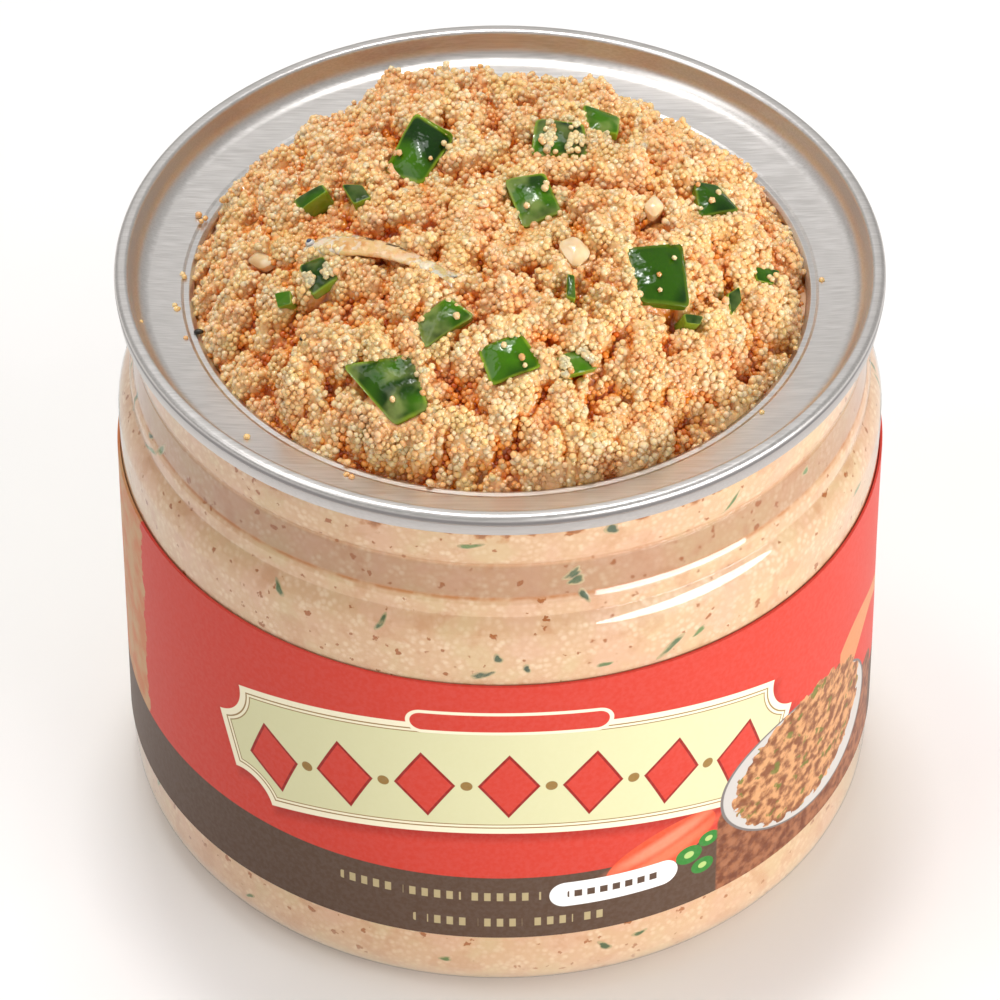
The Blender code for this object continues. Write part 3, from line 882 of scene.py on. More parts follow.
    def pepper(self, pen: Artist, colour: Signal) -> Signal:
        """A red leaf shape with paler streaks, and three green rings beside it."""
        centre, turn = (16.6, 18.2), 22.0
        own = pen.moved(centre, turn)
        colour = pen.laid(colour, (pen.inside(pen.oval(centre, (6.4, 2.7), turn)), self.leaf))
        for offset, tone in self.streaks:
            streak = pen.oval((0.4, offset), (5.0, 0.7), where=own)
            colour = pen.laid(colour, (streak.ramp(0.5, -0.4, 0.0, 0.7), tone))
        for centre, size in (((19.6, 16.2), 1.5), ((21.9, 17.4), 1.2), ((21.2, 14.0), 1.3)):
            ring = pen.oval(centre, (size, size * 0.8))
            colour = pen.laid(colour, (pen.inside(ring), self.rings[0]),
                              (pen.inside(ring + size * 0.5), self.rings[1]))
        return colour

    def bowl(self, pen: Artist, colour: Signal) -> Signal:
        """A bowl seen from above its rim: a streaky clay side, a grey rim, and a heaped filling
        with green flecks that stands over the rim at the left.
        """
        mottle = pen.clouds(1.2, 4.0)
        lumpy = pen.clouds(1.4, 2.0).ramp(0.3, 0.7, -0.35, 0.35)
        light, dark, green = self.filling
        clay = pen.laid(self.clay[0], (mottle.ramp(0.35, 0.65), self.clay[1]))
        filling = pen.laid(light, (mottle.ramp(0.38, 0.62), dark),
                           (pen.clouds(1.5, 3.0).ramp(0.58, 0.66, 0.0, 0.85), green))
        rim = pen.oval((36.3, 20.1), (13.2, 7.95), -8.5)
        mound = pen.oval((36.1, 20.9), (11.1, 7.5), 3.0)
        return pen.laid(
            colour, (pen.inside(pen.box((38.0, 12.0), (15.1, 9.0), 2.5), 0.3), clay),
            (pen.inside(rim), self.rim[0]), (pen.inside(rim + 0.22), self.rim[1]),
            (pen.inside(mound + lumpy), filling))

    def marks(self, pen: Artist, colour: Signal) -> Signal:
        """Rows of short dull bars in groups on the brown band, and a white pill with its own bars."""
        across = pen.parts(pen.at)[0]
        for centre, half, width in (((-6.0, 15.15), (10.3, 0.55), 6.8),
                                    ((0.9, 11.55), (9.6, 0.55), 5.1)):
            row = pen.inside(pen.box(centre, half, 0.2))
            bars = pen.within(pen.repeated(across, 1.25), 0.32)
            group = pen.within(pen.repeated(across, width), width * 0.43)
            colour = pen.laid(colour, (row * (bars * group), self.dull))
        centre = (11.6, 15.0)
        row = pen.inside(pen.box(centre, (4.9, 0.45), 0.2))
        bars = pen.within(pen.repeated(across, 1.3), 0.4)
        pill = pen.inside(pen.box(centre, (6.7, 1.65), 1.65))
        return pen.laid(colour, (pill, self.white), (row * bars, self.brown))


# Jar, ring and label

@dataclass
class ClearJar:
    """The clear jar, and the roe pressed against the inside of its wall."""

    wall: float = 0.45
    reach: float = 0.35            # how far the roe is drawn into the wall, so that no air shows
    body_radius: float = 38.3
    base_corner: float = 5.5
    fill_top: float = 61.95
    columns: int = 256
    body: tuple = ((0.0, 1.5, 0.0), (26.0, 1.1, 3.0), (29.4, 0.0, 1.2), (38.3, 0.0, 5.5),
                   (38.3, 48.9, 3.0), (37.92, 50.5, 5.4), (37.05, 51.72, 0.15))
    neck: tuple = ((37.05, 53.25, 1.3), (36.68, 53.95, 0.1), (36.4, 57.55, 0.15), (36.2, 57.8, 0.15),
                   (36.5, 58.2, 0.2), (36.5, 62.4, 0.0))
    plain_neck: tuple = ((36.98, 53.15, 0.5), (36.66, 53.85, 0.4), (36.3, 57.4, 0.3),
                         (36.26, 57.9, 0.2), (36.48, 58.5, 0.3), (36.48, 62.4, 0.0))

    def inset(self, profile: np.ndarray, depth: float) -> np.ndarray:
        """A profile moved inwards: straight in on the wall, and square to the base."""
        along = unit(np.gradient(profile, axis=0))
        inwards = np.stack((-along[:, 1], along[:, 0]), axis=-1)
        inwards[profile[:, 1] > self.base_corner] = (-1.0, 0.0)
        moved = profile + inwards * depth
        moved[0, 0] = 0.0
        return moved

    def roe_side(self) -> np.ndarray:
        """Profile of the roe behind the wall, which has no ledge or groove of its own."""
        return self.inset(filleted(self.body + self.plain_neck), self.wall - self.reach)

    def wall_radius(self, height: np.ndarray) -> np.ndarray:
        """Radius at a height of the roe behind the wall."""
        profile = self.roe_side()
        rising = profile[profile[:, 0] > 33.0]
        return np.interp(height, rising[:, 1], rising[:, 0])

    def build(self) -> None:
        """Make the wall and the pressed roe behind it."""
        outer = filleted(self.body + self.neck)
        profile = np.concatenate((outer, self.inset(outer, self.wall)[::-1]))
        points, faces = turned(profile, self.columns)
        make_piece("jar_wall", points, faces, ClearWall().material(), Slot.CLEAR, ("jar",), 40.0)
        side = self.roe_side()
        side = side[side[:, 1] < self.fill_top]
        top = ((side[-1, 0], self.fill_top), (32.0, self.fill_top), (31.6, 61.0), (0.0, 61.0))
        points, faces = turned(np.concatenate((side, np.array(top))), self.columns)
        make_piece("pressed_roe", points, faces, PressedRoe().material(), Slot.ROE, ("roe",), 50.0)


@dataclass
class MetalRing:
    """The ring left round the opening: seam, chuck wall, flat panel and hemmed lip."""

    seam_radius: float = 38.1
    rim_height: float = 65.5
    seam_foot: float = 63.15
    panel: float = PANEL
    sheet: float = 0.28
    columns: int = 288

    def profile(self) -> np.ndarray:
        """Section of the ring, up its outside, over the seam, in along the panel and back below."""
        wide, top, flat = self.seam_radius, self.rim_height, self.panel
        under = flat - self.sheet
        return filleted((
            (36.4, self.seam_foot, 0.0), (wide - 0.2, self.seam_foot, 0.1), (wide - 0.12, 64.35, 0.1),
            (wide, 64.6, 0.15), (wide, top, 0.55), (36.75, top, 0.5), (36.25, flat + 0.3, 2.0),
            (31.6, flat, 0.2), (31.3, flat - 0.13, 0.08), (30.8, flat - 0.09, 0.2),
            (30.3, flat - 0.4, 0.25), (30.3, 61.2, 0.3), (31.0, 61.2, 0.2),
            (31.2, under - 0.24, 0.1), (31.5, under, 0.1),
            (36.0, under, 0.2), (36.4, flat + 0.15, 0.0), (36.4, self.seam_foot, 0.0),
        ))[:-1]

    def build(self) -> None:
        """Turn the section."""
        points, faces = turned(self.profile(), self.columns)
        make_piece("metal_ring", points, faces, RolledSheet().material(), Slot.METAL,
                   ("rim_ring",), 60.0)


@dataclass
class WrappedLabel:
    """The label wrapped round the straight wall, with a printed map in millimetres."""

    foot: float = 9.4
    top: float = 44.0
    inside: float = 38.34
    outside: float = 38.56
    edge: float = 0.06
    ripple: float = 0.03
    columns: int = 360
    rows: int = 24

    def build(self) -> None:
        """A closed sleeve whose face has faint ripples, and the Print map on it."""
        height = np.linspace(self.foot, self.top - 2 * self.edge, self.rows)
        face = np.stack((np.full(self.rows, self.outside), height), axis=-1)
        rest = np.array(((self.inside + self.edge, self.top), (self.inside, self.top),
                         (self.inside, self.foot)))
        points, faces = turned(np.concatenate((face, rest)), self.columns)
        outer = np.hypot(points[:, 0], points[:, 1]) > (self.inside + self.outside) / 2
        swell = 1.0 + self.ripple * waves(points, 26.0, 31) * outer / self.outside
        points[:, :2] *= swell[:, None]
        piece = make_piece("wrapped_label", points, faces, LabelPrint().material(), Slot.PRINT,
                           ("label",), 40.0)
        self.map_print(piece.data)

    def map_print(self, mesh: bpy.types.Mesh) -> None:
        """Give each face corner its place: arc length from the front, and height, over 100 mm.

        A face that closes the sleeve at the back has corners on both sides of the seam, and
        those that would read as the left end are moved on by a whole turn.

        Args:
            mesh: the sleeve's mesh.
        """
        corner = np.empty(len(mesh.loops), np.int32)
        mesh.loops.foreach_get("vertex_index", corner)
        places = np.empty(len(mesh.vertices) * 3, np.float32)
        mesh.vertices.foreach_get("co", places)
        places = places.reshape(-1, 3)[corner].reshape(-1, 4, 3) / MM
        angle = np.arctan2(places[..., 0], -places[..., 1])
        across = angle.max(axis=1, keepdims=True) - angle > math.pi
        angle = angle + across * 2.0 * math.pi
        flat = np.stack((angle * ClearJar().body_radius, places[..., 2]), axis=-1) / 100.0
        mapped = mesh.uv_layers.new(name="Print")
        mapped.uv.foreach_set("vector", flat.astype(np.float32).ravel())


# Heap of roe and what lies on it

class Covering(Enum):
    """How a topping's top looks: how wet it is, how many eggs are tried on it, and the value
    between -1 and 1 that a cloud must pass for one to stay.
    """

    BARE = (0.0, 3, -2.0)
    FILM = (0.8, 22, 0.5)
    EGGS = (0.5, 130, 0.1)


@dataclass(frozen=True)
class Dice:
    """A flat piece cut from a pepper or garlic.

    corners are its outline seen from above, anticlockwise. slope is its rise for each unit of
    x and y, lift is how far the middle of its top stands over the heap, and fold is how far
    its skin drops from the ridge along its middle to its sides. dark is its share of painted shade.
    """

    name: str
    corners: tuple
    slope: tuple
    lift: float = 0.9
    thick: float = 1.5
    crown: float = 0.35
    covering: Covering = Covering.BARE
    fold: float = 0.15
    # share of painted shade laid over the whole piece
    dark: float = 0.0


FILM, EGGS = Covering.FILM, Covering.EGGS
CHILLI = (
    Dice("chilli_01", ((-11.4, 3.8), (-7.6, 2.0), (-4.5, 7.3), (-8.4, 10.1)),
         (0.05, 0.35), 0.9, fold=0.24),
    Dice("chilli_02", ((3.1, 5.5), (8.7, 5.8), (8.3, 9.8), (3.6, 9.9)),
         (-0.10, 0.25), covering=EGGS),
    Dice("chilli_03", ((8.9, 10.4), (11.8, 10.4), (12.0, 13.0), (8.3, 13.9)),
         (-0.20, 0.10), covering=FILM),
    Dice("chilli_04", ((2.3, -5.2), (6.0, -3.4), (4.4, 0.9), (0.4, 0.1)),
         (0.0, 0.35), covering=FILM),
    Dice("chilli_05", ((19.8, 0.1), (23.8, 2.6), (21.7, 5.3), (19.3, 4.8)),
         (-0.35, 0.10), dark=0.4),
    Dice("chilli_06", ((13.8, -14.1), (18.5, -13.5), (17.9, -6.7), (12.3, -8.7)),
         (-0.30, 0.35), 1.0, dark=0.6),
    Dice("chilli_07", ((25.2, -5.2), (26.9, -4.6), (27.7, -2.2), (25.0, -3.7)),
         (-0.70, 0.20), 0.8, 0.9, 0.1),
    Dice("chilli_08", ((-7.3, -20.2), (-2.5, -17.6), (-5.1, -15.4), (-8.1, -17.5)),
         (0.15, 0.45), covering=FILM),
    Dice("chilli_09", ((-0.8, -24.0), (4.1, -22.3), (2.0, -19.3), (-2.1, -20.8)), (0.0, 0.60), 1.1),
    Dice("chilli_10", ((-10.2, -26.1), (-6.9, -25.4), (-8.4, -20.4), (-15.3, -20.0)),
         (0.30, 0.65), 1.2, covering=FILM),
    Dice("chilli_11", ((5.9, -22.7), (9.4, -21.5), (8.6, -19.7), (5.5, -20.8)),
         (-0.15, 0.60), 0.7, covering=EGGS),
    Dice("chilli_12", ((-18.4, -11.9), (-15.8, -10.8), (-17.3, -7.8), (-19.7, -8.1)),
         (0.40, 0.30), 0.8, covering=EGGS),
)
GARLIC = (
    Dice("garlic_1", ((7.2, -11.3), (9.1, -9.3), (7.4, -7.4), (5.5, -8.5)),
         (-0.10, 0.30), 0.75, 1.5, 0.45, fold=0.0),
    Dice("garlic_2", ((15.1, -2.7), (16.3, -1.0), (15.2, 0.4), (14.0, -1.4)),
         (-0.20, 0.20), 0.45, 1.4, 0.4, fold=0.0),
    Dice("garlic_3", ((-23.6, -5.3), (-22.1, -5.0), (-23.9, -2.6), (-25.2, -3.2)),
         (0.60, 0.20), 0.55, 1.3, 0.4, fold=0.0),
)
CHIPS = tuple(Dice(f"chip_{number}", *places, 0.9, 1.2, 0.1) for number, places in enumerate((
    (((22.5, -11.7), (23.6, -9.6), (23.4, -8.1), (22.2, -9.5)), (-0.60, 0.35)),
    (((18.0, -14.9), (19.4, -14.5), (19.8, -13.4), (17.8, -14.0)), (-0.50, 0.35)),
    (((-19.6, -0.4), (-17.0, 0.9), (-17.5, 2.1), (-20.4, 1.2)), (0.45, 0.15)),
    (((-14.3, -1.8), (-12.6, -1.3), (-13.5, 0.6), (-15.6, 1.2)), (0.25, 0.15)),
    (((-21.6, -11.6), (-20.3, -11.8), (-20.4, -10.3), (-22.0, -9.9)), (0.55, 0.40)),
    (((6.4, -15.2), (7.3, -15.4), (7.2, -12.9), (6.5, -12.8)), (-0.10, 0.40)),
), 1))


@dataclass
class Heap:
    """The heap's form: a flattened dome with a few broad swells."""

    radius: float = 30.4
    foot_radius: float = 29.8
    panel: float = PANEL
    rise: float = 12.0
    power: float = 3.6
    edge: float = 0.5
    swells: tuple = ((-1.0, 22.0, 0.3, 6.0), (-9.5, 21.0, 1.5, 5.5), (19.0, 17.0, -1.6, 7.0),
                     (-20.0, 14.0, 0.2, 6.0), (26.0, 3.0, -1.0, 5.0))

    def base(self, x: np.ndarray, y: np.ndarray) -> np.ndarray:
        """The dome's rise times 1 less the power of the radius over its foot's, and the swells."""
        r = np.minimum(np.hypot(x, y) / self.foot_radius, 1.0)
        z = self.panel - self.edge + (self.rise + self.edge) * (1.0 - r ** self.power)
        for at_x, at_y, rise, spread in self.swells:
            near = ((x - at_x) ** 2 + (y - at_y) ** 2) / spread ** 2
            z = z + rise * (1.0 - r ** 6) * np.exp(-near)
        return z

    def steepness(self, x: np.ndarray, y: np.ndarray) -> np.ndarray:
        """Length on the dome of a step of 1 in plan, taken straight down the slope."""
        r = np.minimum(np.hypot(x, y) / self.foot_radius, 1.0)
        fall = self.rise * self.power / self.foot_radius * r ** (self.power - 1.0)
        return np.sqrt(1.0 + fall ** 2)

    def spots(self, count: int, rng: np.random.Generator) -> tuple:
        """Centres in a sunflower spiral, even over the dome's own area, each shifted a little."""
        radius = np.linspace(0.0, self.radius, 400)
        area = np.cumsum(radius * self.steepness(radius, 0.0))
        index = np.arange(count) + 0.5
        radius = np.interp(index / count * area[-1], area, radius)
        shift = 0.45 * self.radius * math.sqrt(math.pi / count)
        return (radius * np.cos(index * GOLDEN_ANGLE) + rng.uniform(-shift, shift, count),
                radius * np.sin(index * GOLDEN_ANGLE) + rng.uniform(-shift, shift, count))

    def middle(self, piece: Dice) -> np.ndarray:
        """Middle of a topping's top, standing its lift over the dome."""
        x, y = np.mean(piece.corners, axis=0)
        return np.array((x, y, self.base(x, y) + piece.lift))

    def plane(self, piece: Dice, x: np.ndarray, y: np.ndarray) -> np.ndarray:
        """Height of the plane that a topping's top follows."""
        at_x, at_y, at_z = self.middle(piece)
        return at_z + piece.slope[0] * (x - at_x) + piece.slope[1] * (y - at_y)


def outside_outline(x: np.ndarray, y: np.ndarray, corners: tuple) -> np.ndarray:
    """Distance outside a convex outline, negative inside: the largest distance past a side.

    Args:
        x, y: places in plan.
        corners: the outline, anticlockwise.

    Returns:
        Distances in millimetres.
    """
    ends = np.array(corners)
    sides = unit(np.roll(ends, -1, axis=0) - ends)
    past = [side[1] * (x - end[0]) - side[0] * (y - end[1]) for end, side in zip(ends, sides)]
    return np.max(past, axis=0)


@dataclass
class Slab:
    """A topping's mesh: rings round its middle, from the crown over the edge to the foot."""

    piece: Dice
    heap: Heap
    extra_depth: float = 0.0
    columns: int = 96
    rounding: float = 0.13
    rim: float = 0.32              # how much of the skin's value is lost along its edge

    def frame_axes(self) -> np.ndarray:
        """Rows: along the slope in x, across it, and up from its face."""
        over, back = self.piece.slope
        along, up = unit(np.array((1.0, 0.0, over))), unit(np.array((-over, -back, 1.0)))
        return np.stack((along, np.cross(up, along), up))

    def outline(self) -> np.ndarray:
        """Even points round the corners, each corner eased by a quadratic curve."""
        middle = self.heap.middle(self.piece)
        flat = np.array(self.piece.corners) - middle[:2]
        rise = flat @ np.array(self.piece.slope)
        flat = np.concatenate((flat, rise[:, None]), axis=1) @ self.frame_axes()[:2].T
        before, after = np.roll(flat, 1, axis=0), np.roll(flat, -1, axis=0)
        share = np.linspace(0.0, 1.0, 9)[None, :, None]
        start = (flat + (before - flat) * self.rounding)[:, None]
        end = (flat + (after - flat) * self.rounding)[:, None]
        eased = (1 - share) ** 2 * start + 2 * share * (1 - share) * flat[:, None] + share ** 2 * end
        loop = eased.reshape(-1, 2)
        loop = np.concatenate((loop, loop[:1]))
        run = np.concatenate(([0.0], np.cumsum(np.linalg.norm(np.diff(loop, axis=0), axis=1))))
        even = np.linspace(0.0, run[-1], self.columns, endpoint=False)
        return np.stack((np.interp(even, run, loop[:, 0]), np.interp(even, run, loop[:, 1])), axis=-1)

    def rings(self) -> tuple:
        """Size and depth of each ring, from the foot up over the edge to the crown."""
        piece = self.piece
        thick = piece.thick + self.extra_depth
        turn = np.radians(np.linspace(0.0, 90.0, 6))
        share = np.linspace(0.0, 1.0, 6)
        size = np.concatenate(((0.5, 0.88, 0.96), 1.0 - 0.015 * np.sin(share * math.pi),
                               0.94 + 0.06 * np.cos(turn)[1:], np.linspace(0.88, 0.06, 14)))
        side = -thick + 0.25 + share * (thick - piece.crown - 0.43)
        edge = -piece.crown - 0.18 + 0.18 * np.sin(turn)[1:]
        crown = -piece.crown * (np.linspace(0.88, 0.06, 14) / 0.94) ** 2
        depth = np.concatenate(((-thick, -thick, -thick + 0.08), side, edge, crown))
        return size, depth

    def surface(self) -> tuple:
        """Points, faces and carried skin, with a ridge and faint waves on the skin."""
        outline = self.outline()
        size, depth = self.rings()
        flat = size[:, None, None] * outline[None]
        deep = np.broadcast_to(depth[:, None, None] * 2.0, (*flat.shape[:2], 1))
        seed = len(self.piece.name) + int(outline[0, 0] * 100) % 97
        wobble = 0.05 * waves(np.concatenate((flat * 0.6, deep), axis=-1), 3.0, seed)
        skin = held((depth - depth.max() + self.piece.crown + 0.16) / 0.16)[:, None]
        cut = skin * (1.0 - self.rim * held((size - 0.82) / 0.12)[:, None])
        bend = 0.3 - (flat[..., 0] * 0.5 + flat[..., 1] * 0.2) ** 2
        up = depth[:, None] + (wobble + self.piece.fold * bend) * skin
        local = np.concatenate((flat * (1.0 + 0.4 * wobble[..., None]), up[..., None]), axis=-1)
        points = local.reshape(-1, 3)
        ends = np.array([(0.0, 0.0, depth[0]), (0.0, 0.0, up[-1].mean())])
        points = np.concatenate((points, ends)) @ self.frame_axes() + self.heap.middle(self.piece)
        carried = np.concatenate((np.repeat(cut, self.columns), (0.0, 1.0)))
        return points, tube_faces(len(size), self.columns), carried


@dataclass
class Toppings:
    """Diced pepper and garlic on the heap, each its own piece, and the chips as one."""

    heap: Heap
    chip_depth: float = 1.2
    chip_wet: float = 0.3

    def build(self) -> None:
        """Make the peppers, the garlic and the chips."""
        pepper, garlic = PepperSkin().material(), GarlicFlesh().material()
        for piece in CHILLI:
            points, faces, skin = Slab(piece, self.heap).surface()
            carried = {"skin": skin, "wet": piece.covering.value[0], "dark": piece.dark}
            make_piece(piece.name.replace("chilli", "pepper"), points, faces, pepper, Slot.PEPPER,
                       (piece.name,), values=carried)
        for piece in GARLIC:
            points, faces, _ = Slab(piece, self.heap, rounding=0.34).surface()
            make_piece(piece.name.replace("garlic", "garlic_chunk"), points, faces, garlic,
                       Slot.GARLIC, (piece.name,))
        self.build_chips(pepper)

    def build_chips(self, material: bpy.types.Material) -> None:
        """Join the chips into one piece."""
        slabs = (Slab(chip, self.heap, self.chip_depth, columns=48) for chip in CHIPS)
        places, faces, skin = zip(*(slab.surface() for slab in slabs))
        points = np.concatenate(places)
        make_piece("pepper_chips", points, copies(faces[0], len(CHIPS), len(places[0])),
                   material, Slot.PEPPER,
                   values={"skin": np.concatenate(skin), "wet": self.chip_wet})


@dataclass
class DriedFish:
    """A small dried fish lying on the heap, with its eye."""

    heap: Heap
    spine: tuple = ((-19.2, -5.9), (-12.2, -7.0), (-4.6, -12.9))
    half_width: float = 1.5
    half_thick: float = 0.55
    lift: float = 0.36
    fin: float = 0.86              # where along the fish its tail fin starts
    stations: int = 110
    sides: int = 28

    def line(self, s: np.ndarray) -> np.ndarray:
        """Backbone: a quadratic curve in plan, lying on the dome."""
        start, middle, end = (np.array(place) for place in self.spine)
        s = np.asarray(s, dtype=float)[..., None]
        plan = (1 - s) ** 2 * start + 2 * s * (1 - s) * middle + s ** 2 * end
        height = self.heap.base(plan[..., 0], plan[..., 1]) + self.lift
        return np.concatenate((plan, height[..., None]), axis=-1)

    def fullness(self, s: np.ndarray) -> np.ndarray:
        """Share of the full width: a round head, a slim tail and a small fin."""
        body = np.sqrt(held(s / 0.20)) * held(1.30 - 0.95 * s)
        fin = 0.75 * held((s - self.fin) / (1.0 - self.fin))
        return np.maximum(np.maximum(body, fin), 0.16)

    def axes(self, s: np.ndarray) -> tuple:
        """Backbone places with the directions to the fish's side and up from it."""
        spine = self.line(s)
        forward = np.gradient(spine, axis=0)
        side = unit(np.cross(forward, (0.0, 0.0, 1.0)))
        return spine, side, unit(np.cross(side, forward))

    def build(self) -> None:
        """Oval sections along the backbone, pinched behind the head, and a round eye."""
        s = np.linspace(0.004, 0.996, self.stations)
        spine, side, up = self.axes(s)
        full = np.minimum(self.fullness(s), 1.0) * (1.0 - 0.10 * np.exp(-((s - 0.24) / 0.03) ** 2))
        thin = np.where(s > self.fin, 0.16, np.maximum(full, 0.2))
        angle = bearings(self.sides)
        wide = (self.half_width * full)[:, None] * np.cos(angle)
        high = (self.half_thick * thin)[:, None] * np.sin(angle)
        sections = np.stack((s[:, None] * 30.0 + 0 * wide, wide, high), axis=-1)
        creased = 1.0 + 0.05 * waves(sections, 2.2, 5)
        grow = held((s - self.fin) / (1.0 - self.fin))[:, None]
        ragged = grow * (1.1 * np.abs(np.cos(angle)) + 0.3 * np.sin(9.0 * np.cos(angle)) - 0.4)
        forward = np.cross(up, side)
        points = (spine[:, None] + side[:, None] * (wide * creased)[..., None]
                  + up[:, None] * (high * creased)[..., None]
                  + forward[:, None] * ragged[..., None]).reshape(-1, 3)
        points = np.concatenate((points, spine[:1], spine[-1:]))
        lean = np.cos(angle - math.radians(150.0)) * 0.5 + 0.5
        back = np.concatenate((np.tile(lean, self.stations), (0.3, 0.3)))
        run = np.concatenate((np.repeat(s, self.sides), (0.0, 1.0)))
        faces = [part[:, ::-1] for part in tube_faces(self.stations, self.sides)]
        make_piece("dried_fish_body", points, faces, DriedSkin().material(), Slot.FISH,
                   ("dried_fish",), values={"back": back, "run": run})
        self.build_eye()

    def build_eye(self) -> None:
        """A pale ring with a blue-grey pupil standing out of the head."""
        spine, side, up = (part[0] for part in self.axes(np.array((0.055, 0.065))))
        centre = spine + up * self.half_thick * 0.62 - side * 0.35
        for name, size, rise, tones in (
                ("fish_eye_ring", 0.48, 0.0, (srgb(214, 212, 206), srgb(160, 158, 160))),
                ("fish_eye_pupil", 0.26, 0.30, (srgb(74, 84, 112), srgb(40, 46, 70)))):
            points, faces = egg_shape(20, 11)
            axes = np.stack((side, np.cross(up, side), up))
            points = points * size * np.array((1.0, 1.0, 0.75)) @ axes
            finish = Plain(name, *tones, size=0.5, roughness=0.12)
            make_piece(name, points + centre + up * rise, faces, finish.material(), Slot.FISH)


def egg_shape(columns: int = 5, rows: int = 3) -> tuple:
    """A ball of radius 1: rings at even latitudes between two poles.

    Args:
        columns: points in each ring.
        rows: number of rings.

    Returns:
        (points, list of faces).
    """
    latitude = -math.pi / 2 + np.arange(1, rows + 1)[:, None] * math.pi / (rows + 1)
    angle = bearings(columns)
    rings = (np.cos(latitude) * np.cos(angle), np.cos(latitude) * np.sin(angle),
             np.sin(latitude) + 0 * angle)
    points = np.stack(rings, axis=-1).reshape(-1, 3)
    return np.concatenate((points, [(0, 0, -1), (0, 0, 1)])), tube_faces(rows, columns)


def random_turns(count: int, rng: np.random.Generator) -> np.ndarray:
    """Random rotations, from random unit quaternions.

    Args:
        count: how many.
        rng: the draw that they come from.

    Returns:
        (count, 3, 3) matrices.
    """
    w, x, y, z = unit(rng.normal(size=(count, 4))).T
    rows = ((1 - 2 * (y * y + z * z), 2 * (x * y - w * z), 2 * (x * z + w * y)),
            (2 * (x * y + w * z), 1 - 2 * (x * x + z * z), 2 * (y * z - w * x)),
            (2 * (x * z - w * y), 2 * (y * z + w * x), 1 - 2 * (x * x + y * y)))
    return np.moveaxis(np.array(rows), -1, 0)


class Kind(Enum):
    """Kinds of egg, each a piece of its own."""

    # each kind's deep colour is painted shade for crevices, and amber eggs are laid in crevices as
    # painted shade
    CREAM = LooseRoe("cream_eggs", srgb(254, 218, 172), srgb(250, 156, 46))
    PEACH = LooseRoe("peach_eggs", srgb(252, 196, 134), srgb(248, 144, 36))
    AMBER = LooseRoe("amber_eggs", srgb(240, 160, 72), srgb(224, 112, 20))
    STRAW = LooseRoe("straw_eggs", srgb(254, 206, 142), srgb(248, 150, 38))
    GLASSY = LooseRoe("glassy_eggs", srgb(242, 212, 158), srgb(212, 136, 44),
                      roughness=0.08, coat=0.7)


